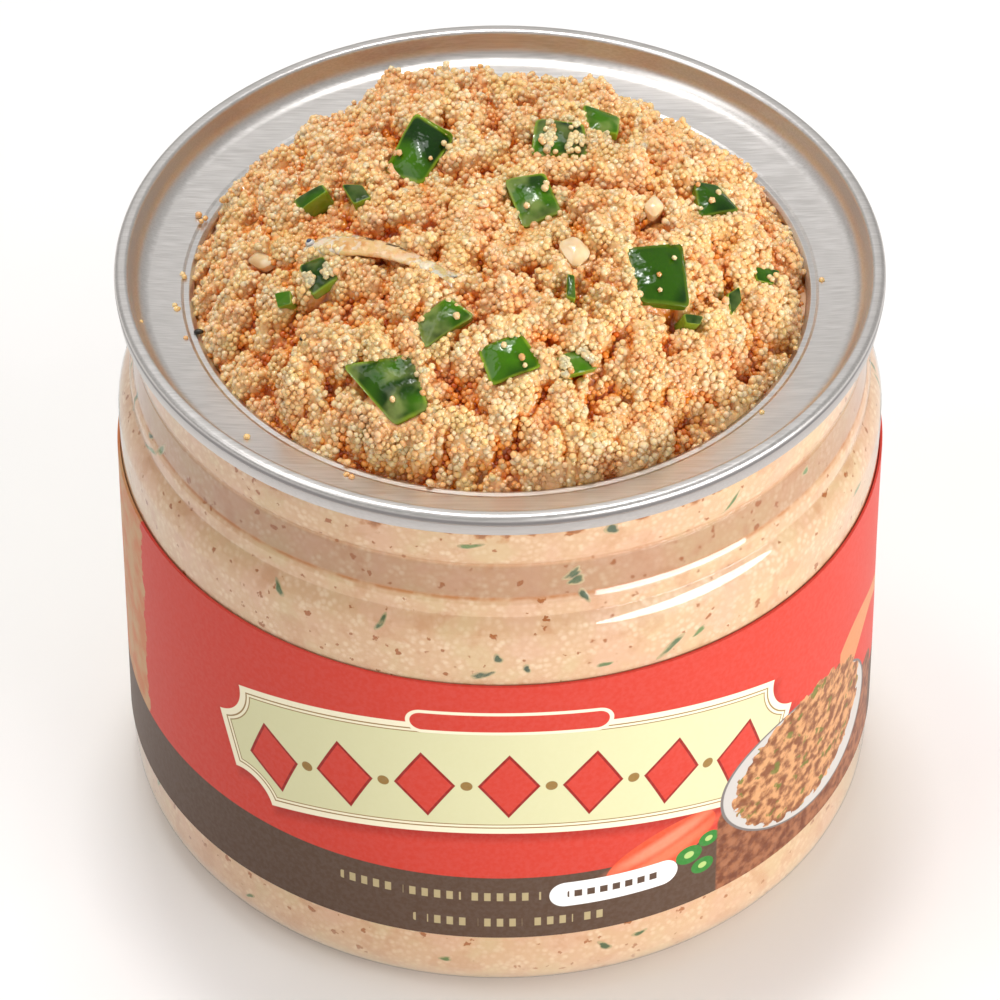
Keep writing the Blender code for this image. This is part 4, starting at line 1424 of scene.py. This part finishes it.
@dataclass
class Relief:
    """The heap as it is drawn: its dome on a square map, built up from lumps upon lumps.

    top is the height of the surface through the eggs' centres, tone is painted shade from 0 in
    a crevice to 1 on a crest, and rise is how much top gains in a millimetre along x and along y.
    """

    heap: Heap
    fish: DriedFish
    step: float = 0.2
    reach: float = 31.6
    floor: float = 2.3             # how far the deepest crevices lie under the dome
    ceiling: float = 75.0
    slope: float = 3.5
    spread: int = 3
    lumps: tuple = ((170, (2.0, 3.2), 0.90, 0.35), (1050, (0.75, 1.30), 0.15, 0.35),
                    (1500, (0.40, 0.65), 0.10, 0.15))
    climb: tuple = (0.95, 0.35)    # steepness beside a topping: its mean, and what its back adds
    below: float = 0.48            # how far the surface keeps under a topping's top
    unevenness: float = 0.35
    wave: float = 9.0              # wavelength of the unevenness, and of the rim's
    weights: tuple = (0.62, 0.40, 0.45, 0.10)  # of the tone: see __post_init__
    seed: int = 5
    rim_rise: float = 0.35
    rim_slope: float = 2.3

    def __post_init__(self) -> None:
        """Stack the lumps, slope their sides, make room for the toppings and trim the rim.

        A row of lumps is a count, the least and greatest radius, how far a centre lies under the
        surface as a share of its radius, and how much that varies in millimetres. The tone is a
        weighted sum of 1 and of the height over a broad mean, over a close mean and over the dome.
        """
        rng = np.random.default_rng(self.seed)
        self.side = np.arange(-self.reach, self.reach + self.step, self.step)
        x, y = np.meshgrid(self.side, self.side, indexing="ij")
        base = self.heap.base(x, y)
        self.top, level = base - self.floor, base
        for count, sizes, sink, jitter in self.lumps:
            at_x, at_y = self.heap.spots(count, rng)
            size = rng.uniform(*sizes, count)
            under = sink * size + rng.uniform(-jitter, jitter, count)
            under = under * self.heap.steepness(at_x, at_y)
            for lump in zip(at_x, at_y, self.at(level, at_x, at_y) - under, size):
                self.add_lump(*lump)
            level = self.top
        plan = np.stack((x, y), axis=-1)
        self.top = self.top + self.unevenness * waves(plan, self.wave, 41, 16)
        for _ in range(self.spread):
            for axis in (0, 1):
                uphill = np.maximum(np.roll(self.top, 1, axis), np.roll(self.top, -1, axis))
                self.top = np.maximum(self.top, uphill - self.slope * self.step)
        self.top = np.minimum(self.top, self.room(x, y))
        rim = self.heap.radius - 0.3 + 0.3 * waves(plan, self.wave, 19)
        rim = self.heap.panel + self.rim_rise + self.rim_slope * (rim - np.hypot(x, y))
        self.top = np.minimum(np.minimum(self.top, rim), self.ceiling)
        # the tone is painted shade: pale on crests, dark in crevices
        broad, close = (self.top - self.blurred(self.top, cells) for cells in (5, 2))
        fields = np.array((np.ones_like(base), broad, close, self.top - base))
        self.tone = held(np.tensordot(self.weights, fields, 1))
        self.rise = np.gradient(self.top, self.step)

    def add_lump(self, at_x: float, at_y: float, height: float, size: float) -> None:
        """Raise the map to a ball, given by its centre and radius, where the ball stands over it."""
        rows, columns = (slice(*np.searchsorted(self.side, (at - size, at + size)))
                         for at in (at_x, at_y))
        inside = (size ** 2 - (self.side[rows, None] - at_x) ** 2
                  - (self.side[None, columns] - at_y) ** 2)
        ball = np.where(inside > 0.0, height + np.sqrt(np.maximum(inside, 0.0)), -np.inf)
        self.top[rows, columns] = np.maximum(self.top[rows, columns], ball)

    def room(self, x: np.ndarray, y: np.ndarray) -> np.ndarray:
        """Greatest height round the toppings and the fish: it climbs slowly in front, so that
        they show, and faster behind.
        """
        most = np.full(x.shape, np.inf)
        mean, more = self.climb
        for piece in CHILLI + GARLIC + CHIPS:
            past = np.maximum(outside_outline(x, y, piece.corners), 0.0)
            climb = mean + more * np.clip((y - self.heap.middle(piece)[1]) / 2.0, -1.0, 1.0)
            most = np.minimum(most, self.heap.plane(piece, x, y) - self.below + climb * past)
        run = np.linspace(0.0, 1.0, 60)
        for (at_x, at_y, at_z), s in zip(self.fish.line(run), run):
            past = np.maximum(np.hypot(x - at_x, y - at_y) - self.fish.half_width * 0.6, 0.0)
            most = np.minimum(most, at_z + 0.25 - 0.45 * s ** 2 + mean * past)
        return most

    def blurred(self, field: np.ndarray, cells: int) -> np.ndarray:
        """Mean over a square of cells each way, repeated once more for a rounder mean."""
        kernel = np.ones(2 * cells + 1) / (2 * cells + 1)
        padded = np.pad(field, 2 * cells, mode="edge")
        for axis in (0, 1, 0, 1):
            padded = np.apply_along_axis(np.convolve, axis, padded, kernel, "valid")
        return padded

    def at(self, field: np.ndarray, x: np.ndarray, y: np.ndarray) -> np.ndarray:
        """Read a field between its cells, each corner weighted by its nearness."""
        u, v = ((np.clip(w, -self.reach, self.reach - self.step) + self.reach) / self.step
                for w in (x, y))
        i, j = np.minimum(u.astype(int), len(field) - 2), np.minimum(v.astype(int), len(field) - 2)
        u, v = u - i, v - j
        return ((1 - u) * ((1 - v) * field[i, j] + v * field[i, j + 1])
                + u * ((1 - v) * field[i + 1, j] + v * field[i + 1, j + 1]))


@dataclass
class RoeHeap:
    """The heap above the opening: a core just under the relief, and loose eggs on it."""

    heap: Heap
    fish: DriedFish
    cells: int = 288
    sink: tuple = (-0.17, -0.02)   # depth under the eggs' centres where pasty, and where not
    egg_size: tuple = (0.27, 0.43)
    spacing: float = 0.54
    settle: float = 0.35
    shift: float = 0.18
    skirt: float = 2.0             # how far the core reaches under the ring's panel
    shade: float = 0.45            # the core's carried shade
    middle: float = 6.0            # height over the panel that the lattice is drawn round
    half_depth: float = 9.0        # how far the lattice reaches over and under that height
    margin: float = 0.12           # how far round a topping the core is lowered and eggs are dropped
    seed: int = 21

    def __post_init__(self) -> None:
        """Work out the relief once."""
        self.relief = Relief(self.heap, self.fish)

    def pressed(self, x: np.ndarray, y: np.ndarray, z: np.ndarray) -> np.ndarray:
        """Lower the core under each topping and the fish, close round them."""
        for piece in CHILLI + GARLIC:
            under = np.minimum(z, self.heap.plane(piece, x, y) - (piece.crown + 0.5))
            z = np.where(outside_outline(x, y, piece.corners) < self.margin, under, z)
        for at_x, at_y, at_z in self.fish.line(np.linspace(0.0, 0.9, 60)):
            near = np.hypot(x - at_x, y - at_y) < self.fish.half_width * 0.5
            z = np.where(near, np.minimum(z, at_z - 0.2), z)
        return z

    def build_core(self) -> None:
        """A square grid drawn into a disc, raised to the relief, with a skirt and a flat floor."""
        a, b = np.meshgrid(*[np.linspace(-1.0, 1.0, self.cells + 1)] * 2)
        wide = np.abs(a) >= np.abs(b)
        reach = np.where(wide, a, b)
        safe = np.where(reach == 0.0, 1.0, reach)
        angle = np.where(wide, math.pi / 4 * b / safe, math.pi / 2 - math.pi / 4 * a / safe)
        x, y = (self.heap.radius * reach * turn(angle) for turn in (np.cos, np.sin))
        pasty = held(0.35 + 0.8 * waves(np.stack((x, y), axis=-1), 4.0, 77))
        deep, shallow = self.sink
        z = self.relief.at(self.relief.top, x, y) - shallow + (shallow - deep) * pasty
        z = self.pressed(x, y, z)
        points = np.stack((x, y, z), axis=-1).reshape(-1, 3)
        side = self.cells + 1
        index = np.arange(side * side).reshape(side, side)
        edge = np.concatenate((index[0, :-1], index[:-1, -1], index[-1, :0:-1], index[:0:-1, 0]))
        low = (0.0, 0.0, self.heap.panel - self.skirt)
        foot = points[edge] * (1.0, 1.0, 0.0) + low
        first = len(points)
        ring = first + np.arange(len(edge))
        skirt = np.stack((ring, np.roll(ring, -1), np.roll(edge, -1), edge), axis=-1)
        floor = np.stack((np.roll(ring, -1), ring, np.full(len(ring), first + len(edge))), axis=-1)
        points = np.concatenate((points, foot, [low]))
        # the core's carried height is the relief's tone, painted shade for its crevices
        finish = LooseRoe("roe_paste", srgb(252, 200, 136), srgb(246, 142, 34), grains=0.12)
        make_piece("roe_core", points, [grid_faces(side, side, wrap=False), skirt, floor],
                   finish.material(), Slot.ROE,
                   values={"height": self.relief.at(self.relief.tone, points[:, 0], points[:, 1]),
                           "shade": self.shade})

    def heaped_eggs(self, rng: np.random.Generator) -> np.ndarray:
        """Points of a tilted cubic lattice that the relief runs through, each shifted a little.

        A point is kept where its height over the relief, times the cosine of the slope, is less
        than half the spacing, and it settles most of that way onto the relief.
        """
        half = int(1.35 * self.relief.reach / self.spacing)
        side = np.arange(-half, half + 1) * self.spacing
        lattice = np.stack(np.meshgrid(side, side, side, indexing="ij"), axis=-1).reshape(-1, 3)
        points = lattice @ random_turns(1, rng)[0] + (0.0, 0.0, self.heap.panel + self.middle)
        points = points[np.abs(points[:, 2] - self.heap.panel - self.middle) < self.half_depth]
        points = points[np.hypot(points[:, 0], points[:, 1]) < self.heap.radius - 0.2]
        x, y, z = points.T
        along_x, along_y = (self.relief.at(part, x, y) for part in self.relief.rise)
        out = unit(np.stack((-along_x, -along_y, np.ones(len(x))), axis=-1))
        away = ((z - self.relief.at(self.relief.top, x, y)) * out[:, 2])[:, None]
        points = points - self.settle * away * out
        points = points[np.abs(away[:, 0]) < self.spacing * 0.5]
        return points + rng.uniform(-self.shift, self.shift, points.shape)

    def clear_of_toppings(self, eggs: np.ndarray, rng: np.random.Generator) -> np.ndarray:
        """Drop eggs inside a topping or the fish, and those well inside the edge of a clean top."""
        keep = np.full(len(eggs), True)
        for piece in CHILLI + GARLIC + CHIPS:
            past = outside_outline(eggs[:, 0], eggs[:, 1], piece.corners)
            over = eggs[:, 2] - self.heap.plane(piece, eggs[:, 0], eggs[:, 1])
            lap = -0.5 if piece.covering is Covering.EGGS else -0.1
            lapped = (over > 0.0) & (over < 0.5) & (past > rng.uniform(lap, 0.3, len(eggs)))
            keep &= (past > self.margin) | lapped | (past > -0.15) & (over < -piece.crown - 0.2)
        reach = self.fish.half_width * rng.uniform(0.12, 0.58, len(eggs))
        for at in self.fish.line(np.linspace(0.0, 0.95, 70)):
            near = np.hypot(eggs[:, 0] - at[0], eggs[:, 1] - at[1]) < reach
            keep &= ~(near & (eggs[:, 2] > at[2] - 0.4))
        return eggs[keep]

    def eggs_on_toppings(self, rng: np.random.Generator) -> np.ndarray:
        """Eggs stuck to the toppings: many on a covered one, a few on the others."""
        found = []
        for piece in CHILLI:
            _, count, least = piece.covering.value
            slab = Slab(piece, self.heap)
            outline = slab.outline()
            pick = rng.integers(0, len(outline), count)
            reach = np.sqrt(rng.uniform(0.0, 0.8, count))[:, None]
            flat = outline[pick] * reach
            patch = waves(flat, 3.2, count + pick[0]) > least
            rise = -piece.crown * reach[:, 0] ** 2 + rng.uniform(0.08, 0.26, count)
            local = np.concatenate((flat, rise[:, None]), axis=1)[patch]
            found.append(local @ slab.frame_axes() + self.heap.middle(piece))
        return np.concatenate(found)

    def tone_of(self, eggs: np.ndarray) -> np.ndarray:
        """Carried height of each egg, its painted shade: the relief's tone, and more for one that
        stands over it.
        """
        x, y, z = eggs.T
        over = np.clip(z - self.relief.at(self.relief.top, x, y), -0.4, 1.0)
        tone = held(self.relief.at(self.relief.tone, x, y) + 0.35 * over)
        return np.where(np.hypot(x, y) < self.heap.radius, tone, 0.8)

    def kinds_of(self, eggs: np.ndarray, wet: np.ndarray, rng: np.random.Generator) -> np.ndarray:
        """Number of each egg's kind: patches of a tone, amber in crevices as painted shade, glassy
        where wet.
        """
        patch = waves(eggs, 4.5, 3) + rng.normal(scale=0.22, size=len(eggs))
        cream, peach, amber, straw, glassy = range(len(Kind))
        kind = np.choose(np.digitize(patch, (-0.25, 0.25)), (straw, cream, peach))
        # painted shade: eggs low in the tone become amber
        deep = self.tone_of(eggs) < rng.uniform(0.0, 0.30, len(eggs))
        return np.where(wet, glassy, np.where(deep, amber, kind))

    def wet_share(self, eggs: np.ndarray) -> np.ndarray:
        """Chance of an egg being glassy: high beside the peppers and in a wet spot, or else low."""
        centre = np.hypot(eggs[:, 0] - 4.5, (eggs[:, 1] + 10.0) / 0.8)
        chance = 0.06 + 0.45 * np.exp(-(centre / 5.0) ** 2)
        for piece in CHILLI:
            past = outside_outline(eggs[:, 0], eggs[:, 1], piece.corners)
            chance = np.maximum(chance, 0.9 * np.exp(-np.maximum(past, 0.0) / 1.0))
        return chance

    def build_eggs(self) -> None:
        """Scatter the eggs and make one piece of each kind."""
        rng = np.random.default_rng(self.seed)
        heaped = self.clear_of_toppings(self.heaped_eggs(rng), rng)
        eggs = np.concatenate((heaped, self.eggs_on_toppings(rng), crumbs_on_ring()))
        wet = rng.uniform(size=len(eggs)) < self.wet_share(eggs)
        kinds = self.kinds_of(eggs, wet, rng)
        size = rng.uniform(*self.egg_size, len(eggs))
        stretch = rng.uniform(0.9, 1.08, (len(eggs), 1, 3))
        turns = random_turns(len(eggs), rng)
        shade = rng.uniform(size=len(eggs))
        shape, faces = egg_shape()
        for number, kind in enumerate(Kind):
            own = kinds == number
            body = np.einsum("epj,ejk->epk", shape[None] * stretch[own], turns[own])
            points = (body * size[own, None, None] + eggs[own, None]).reshape(-1, 3)
            sets = copies(faces, own.sum(), len(shape))
            make_piece(kind.value.name, points, sets, kind.value.material(), Slot.ROE,
                       values={"height": np.repeat(self.tone_of(eggs[own]), len(shape)),
                               "shade": np.repeat(shade[own], len(shape))})

    def build(self) -> None:
        """Make the core, its eggs and the two dark specks."""
        self.build_core()
        self.build_eggs()
        self.build_specks()

    def build_specks(self) -> None:
        """Two dark specks of pepper skin on the heap."""
        shape, faces = egg_shape(12, 7)
        places = ((-29.6, -7.3, 0.6), (-18.9, -15.9, 0.9))
        made = []
        for x, y, lift in places:
            uneven = (1.0 + 0.12 * waves(shape, 1.4, 8))[:, None]
            stretched = shape * np.array((0.5, 0.32, 0.25)) * uneven
            made.append(stretched + (x, y, float(self.heap.base(x, y)) + lift))
        finish = Plain("dark_speck", srgb(34, 30, 24), srgb(60, 52, 38), 0.6, 0.4)
        make_piece("dark_specks", np.concatenate(made), copies(faces, len(places), len(shape)),
                   finish.material(), Slot.ROE)


def crumbs_on_ring() -> np.ndarray:
    """Eggs that have fallen on the lip and the flat panel of the ring.

    Returns:
        (n, 3) centres: a few listed one by one, and some drawn round the lip.
    """
    placed = np.array((
        (-6.7, -29.9, 62.7), (-29.5, 9.9, 62.7), (-29.9, 9.4, 62.7), (-30.2, 10.5, 62.6),
        (-31.5, 1.6, 62.3), (-31.3, 1.1, 62.4), (-32.1, -3.3, 62.4), (-31.8, -3.8, 62.3),
        (-35.3, -6.4, 62.9), (-24.4, -23.1, 62.6), (-14.2, -28.8, 62.4), (-14.7, -28.4, 62.4)))
    rng = np.random.default_rng(12)
    bearing = rng.uniform(0.0, 2.0 * math.pi, 12)
    radius = rng.choice((30.6, 31.9), 12)
    height = np.where(radius < 31, 62.65, 62.4)
    drawn = np.stack((radius * np.cos(bearing), radius * np.sin(bearing), height), axis=-1)
    return np.concatenate((placed, drawn))


class Leaf(NamedTuple):
    """One bit of green behind the wall.

    Its bearing and tilt are in degrees, its height, half length and half width in millimetres,
    and its tone runs from 0 for dark green to 1 for yellow green.
    """

    bearing: float
    height: float
    length: float
    width: float
    tilt: float
    tone: float


@dataclass
class WallBits:
    """Green bits pressed against the inside of the wall, seen through it."""

    jar: ClearJar
    placed: tuple = (
        Leaf(-4.5, 60.3, 1.3, 0.35, 10, 0.8), Leaf(17.0, 61.2, 1.1, 0.55, -20, 0.1),
        Leaf(11.0, 56.2, 1.5, 0.4, 35, 0.2), Leaf(11.6, 55.4, 1.2, 0.5, 5, 0.25),
        Leaf(12.7, 53.6, 1.0, 0.4, -70, 0.15), Leaf(-34.4, 50.2, 1.1, 0.35, -40, 0.4),
        Leaf(-17.6, 50.2, 1.0, 0.4, 60, 0.3), Leaf(-0.3, 47.4, 0.7, 0.45, 80, 0.1),
        Leaf(-2.6, 45.2, 1.5, 0.4, 25, 0.1), Leaf(3.9, 46.0, 0.5, 0.5, 0, 0.0),
        Leaf(15.3, 45.4, 0.9, 0.3, 10, 0.6), Leaf(25.8, 45.6, 1.9, 0.45, 35, 0.35),
        Leaf(30.4, 46.2, 1.1, 0.3, 30, 0.8), Leaf(37.8, 59.2, 1.6, 0.25, 40, 0.7),
        Leaf(-65.2, 54.1, 1.5, 0.35, 60, 0.8), Leaf(-68.6, 52.4, 2.0, 0.3, 20, 0.9),
        Leaf(-79.3, 53.4, 1.8, 0.4, 85, 0.3), Leaf(21.5, 7.0, 0.9, 0.35, 20, 0.3),
        Leaf(16.0, 6.4, 1.1, 0.4, -30, 0.2), Leaf(-41.7, 5.2, 0.8, 0.3, 40, 0.6),
        Leaf(-8.3, 5.6, 0.9, 0.3, 10, 0.7),
    )
    drawn: int = 90
    rings: int = 5
    columns: int = 22

    def all_bits(self) -> list:
        """The bits listed at the front, and more drawn round the rest of the jar."""
        rng = np.random.default_rng(17)
        rows = zip(rng.uniform(45.0, 315.0, self.drawn), rng.uniform(4.0, 60.5, self.drawn),
                   rng.uniform(0.4, 1.7, self.drawn), rng.uniform(0.2, 0.5, self.drawn),
                   rng.uniform(-90.0, 90.0, self.drawn), rng.uniform(0.0, 1.0, self.drawn))
        return list(self.placed) + [Leaf(*row) for row in rows]

    def build(self) -> None:
        """Each bit is a lens: rings of an uneven oval laid on the wall, bulging by a small depth."""
        bits = np.array(self.all_bits())
        bearing, height, length, width, tilt, tone = (bits[:, k, None, None] for k in range(6))
        out, back = np.linspace(0.2, 1.0, self.rings), np.linspace(0.94, 0.2, self.rings)
        share = np.concatenate((out, back))[None, :, None]
        front = np.repeat((1.0, -1.0), self.rings)[None, :, None]
        angle = bearings(self.columns)[None, None]
        uneven = 1.0 + 0.22 * np.sin(2 * angle + bearing) + 0.14 * np.sin(3 * angle + 2 * height)
        across = share * uneven * length * np.cos(angle)
        up = share * uneven * 1.2 * width * np.sin(angle) + 0.04 * across ** 2 / length
        turn = np.radians(tilt)
        round_it = across * np.cos(turn) - up * np.sin(turn)
        rise = height + across * np.sin(turn) + up * np.cos(turn)
        bulge = front * 0.06 * np.sqrt(np.maximum(1.0 - share ** 2, 0.0)) - 0.026
        radius = self.jar.wall_radius(rise) + bulge
        around = np.radians(bearing) + round_it / radius
        places = np.stack((radius * np.sin(around), -radius * np.cos(around), rise), axis=-1)
        rings = places.reshape(len(bits), -1, 3)
        poles = np.stack((places[:, 0].mean(axis=1), places[:, -1].mean(axis=1)), axis=1)
        points = np.concatenate((rings, poles), axis=1)
        step = points.shape[1]
        faces = [part[:, ::-1] for part in tube_faces(2 * self.rings, self.columns)]
        edge = np.concatenate((np.repeat(share.ravel(), self.columns), (0.0, 0.0)))
        make_piece("wall_greens", points.reshape(-1, 3), copies(faces, len(bits), step),
                   GreenBit().material(), Slot.ROE,
                   values={"tone": np.repeat(tone.ravel(), step), "edge": np.tile(edge, len(bits))})


# Studio

@dataclass(frozen=True)
class Softbox:
    """A soft light: its bearing and elevation seen from the jar, distance, size and brightness."""

    name: str
    bearing: float
    elevation: float
    distance: float
    width: float
    height: float
    brightness: float
    shape: str = "RECTANGLE"

    def build(self, target: Vector) -> None:
        """Place the light so that it faces the target, with pi times area times brightness watts."""
        light = bpy.data.lights.new(self.name, "AREA")
        light.shape = self.shape
        light.size, light.size_y = self.width, self.height
        light.energy = math.pi * self.width * self.height * self.brightness
        turn, tilt = math.radians(self.bearing), math.radians(self.elevation)
        way = Vector((math.sin(turn) * math.cos(tilt), -math.cos(turn) * math.cos(tilt),
                      math.sin(tilt)))
        lamp = bpy.data.objects.new(self.name, light)
        lamp.location = target + way * self.distance
        lamp.rotation_euler = way.to_track_quat("Z", "Y").to_euler()
        bpy.context.scene.collection.objects.link(lamp)


@dataclass
class Studio:
    """Camera, pale floor, soft surrounding light and softboxes."""

    aim_height: float = 33.66
    distance: float = 663.4
    elevation: float = 41.92
    pixels_per_radian: float = 6504.3
    picture: float = 1000.0
    sensor: float = 36.0
    surround: float = 0.46
    floor_half: float = 1500.0
    boxes: tuple = (
        Softbox("strip_right", 51.0, 9.5, 0.85, 0.82, 0.24, 10.0, "ELLIPSE"),
        Softbox("softbox_above", 200.0, 78.0, 0.80, 0.45, 0.30, 4.5),
        Softbox("lamp_above", 185.0, 80.0, 0.80, 0.10, 0.10, 48.0),
        Softbox("softbox_behind", 195.0, 40.0, 1.10, 0.70, 0.40, 0.25),
        Softbox("softbox_left", -72.0, 50.0, 0.90, 0.40, 0.40, 2.1),
    )

    def build(self) -> None:
        """Make everything in the studio."""
        self.build_camera()
        self.build_floor()
        self.build_surround()
        for box in self.boxes:
            box.build(Vector((0.0, 0.0, self.aim_height * MM)))
        bpy.context.scene.view_settings.view_transform = "Standard"
        log.info("studio: %d softboxes", len(self.boxes))

    def build_camera(self) -> None:
        """A long lens that looks down on the jar from the front."""
        data = bpy.data.cameras.new("camera")
        data.sensor_width = self.sensor
        data.lens = self.pixels_per_radian / self.picture * self.sensor
        data.clip_start, data.clip_end = 0.01, 20.0
        camera = bpy.data.objects.new("camera", data)
        tilt = math.radians(self.elevation)
        way = Vector((0.0, -math.cos(tilt), math.sin(tilt)))
        camera.location = Vector((0.0, 0.0, self.aim_height * MM)) + way * self.distance * MM
        camera.rotation_euler = way.to_track_quat("Z", "Y").to_euler()
        bpy.context.scene.collection.objects.link(camera)
        bpy.context.scene.camera = camera

    def build_floor(self) -> None:
        """A pale floor under the jar."""
        half = self.floor_half * MM
        corners = [(-half, -half, 0.0), (half, -half, 0.0), (half, half, 0.0), (-half, half, 0.0)]
        mesh = bpy.data.meshes.new("floor")
        mesh.from_pydata(corners, [], [(0, 1, 2, 3)])
        finish = Plain("pale_floor", srgb(250, 249, 248), srgb(247, 246, 244), 60.0, 0.6)
        mesh.materials.append(finish.material())
        floor = bpy.data.objects.new("floor", mesh)
        bpy.context.scene.collection.objects.link(floor)

    def build_surround(self) -> None:
        """Even white light from all round."""
        world = bpy.data.worlds.new("surround")
        world.use_nodes = True
        background = world.node_tree.nodes["Background"].inputs
        background["Color"].default_value = (1.0, 0.99, 0.975, 1.0)
        background["Strength"].default_value = self.surround
        bpy.context.scene.world = world


def main() -> None:
    """Build the jar, its ring, label and contents, then the studio."""
    jar = ClearJar()
    heap = Heap()
    fish = DriedFish(heap)
    builders: tuple[tuple[str, Callable[[], None]], ...] = (
        ("jar", jar.build), ("ring", MetalRing().build), ("label", WrappedLabel().build),
        ("toppings", Toppings(heap).build), ("fish", fish.build), ("heap", RoeHeap(heap, fish).build),
        ("wall bits", WallBits(jar).build), ("studio", Studio().build),
    )
    for name, build in builders:
        log.info("building the %s", name)
        build()


if __name__ == "__main__":
    main()
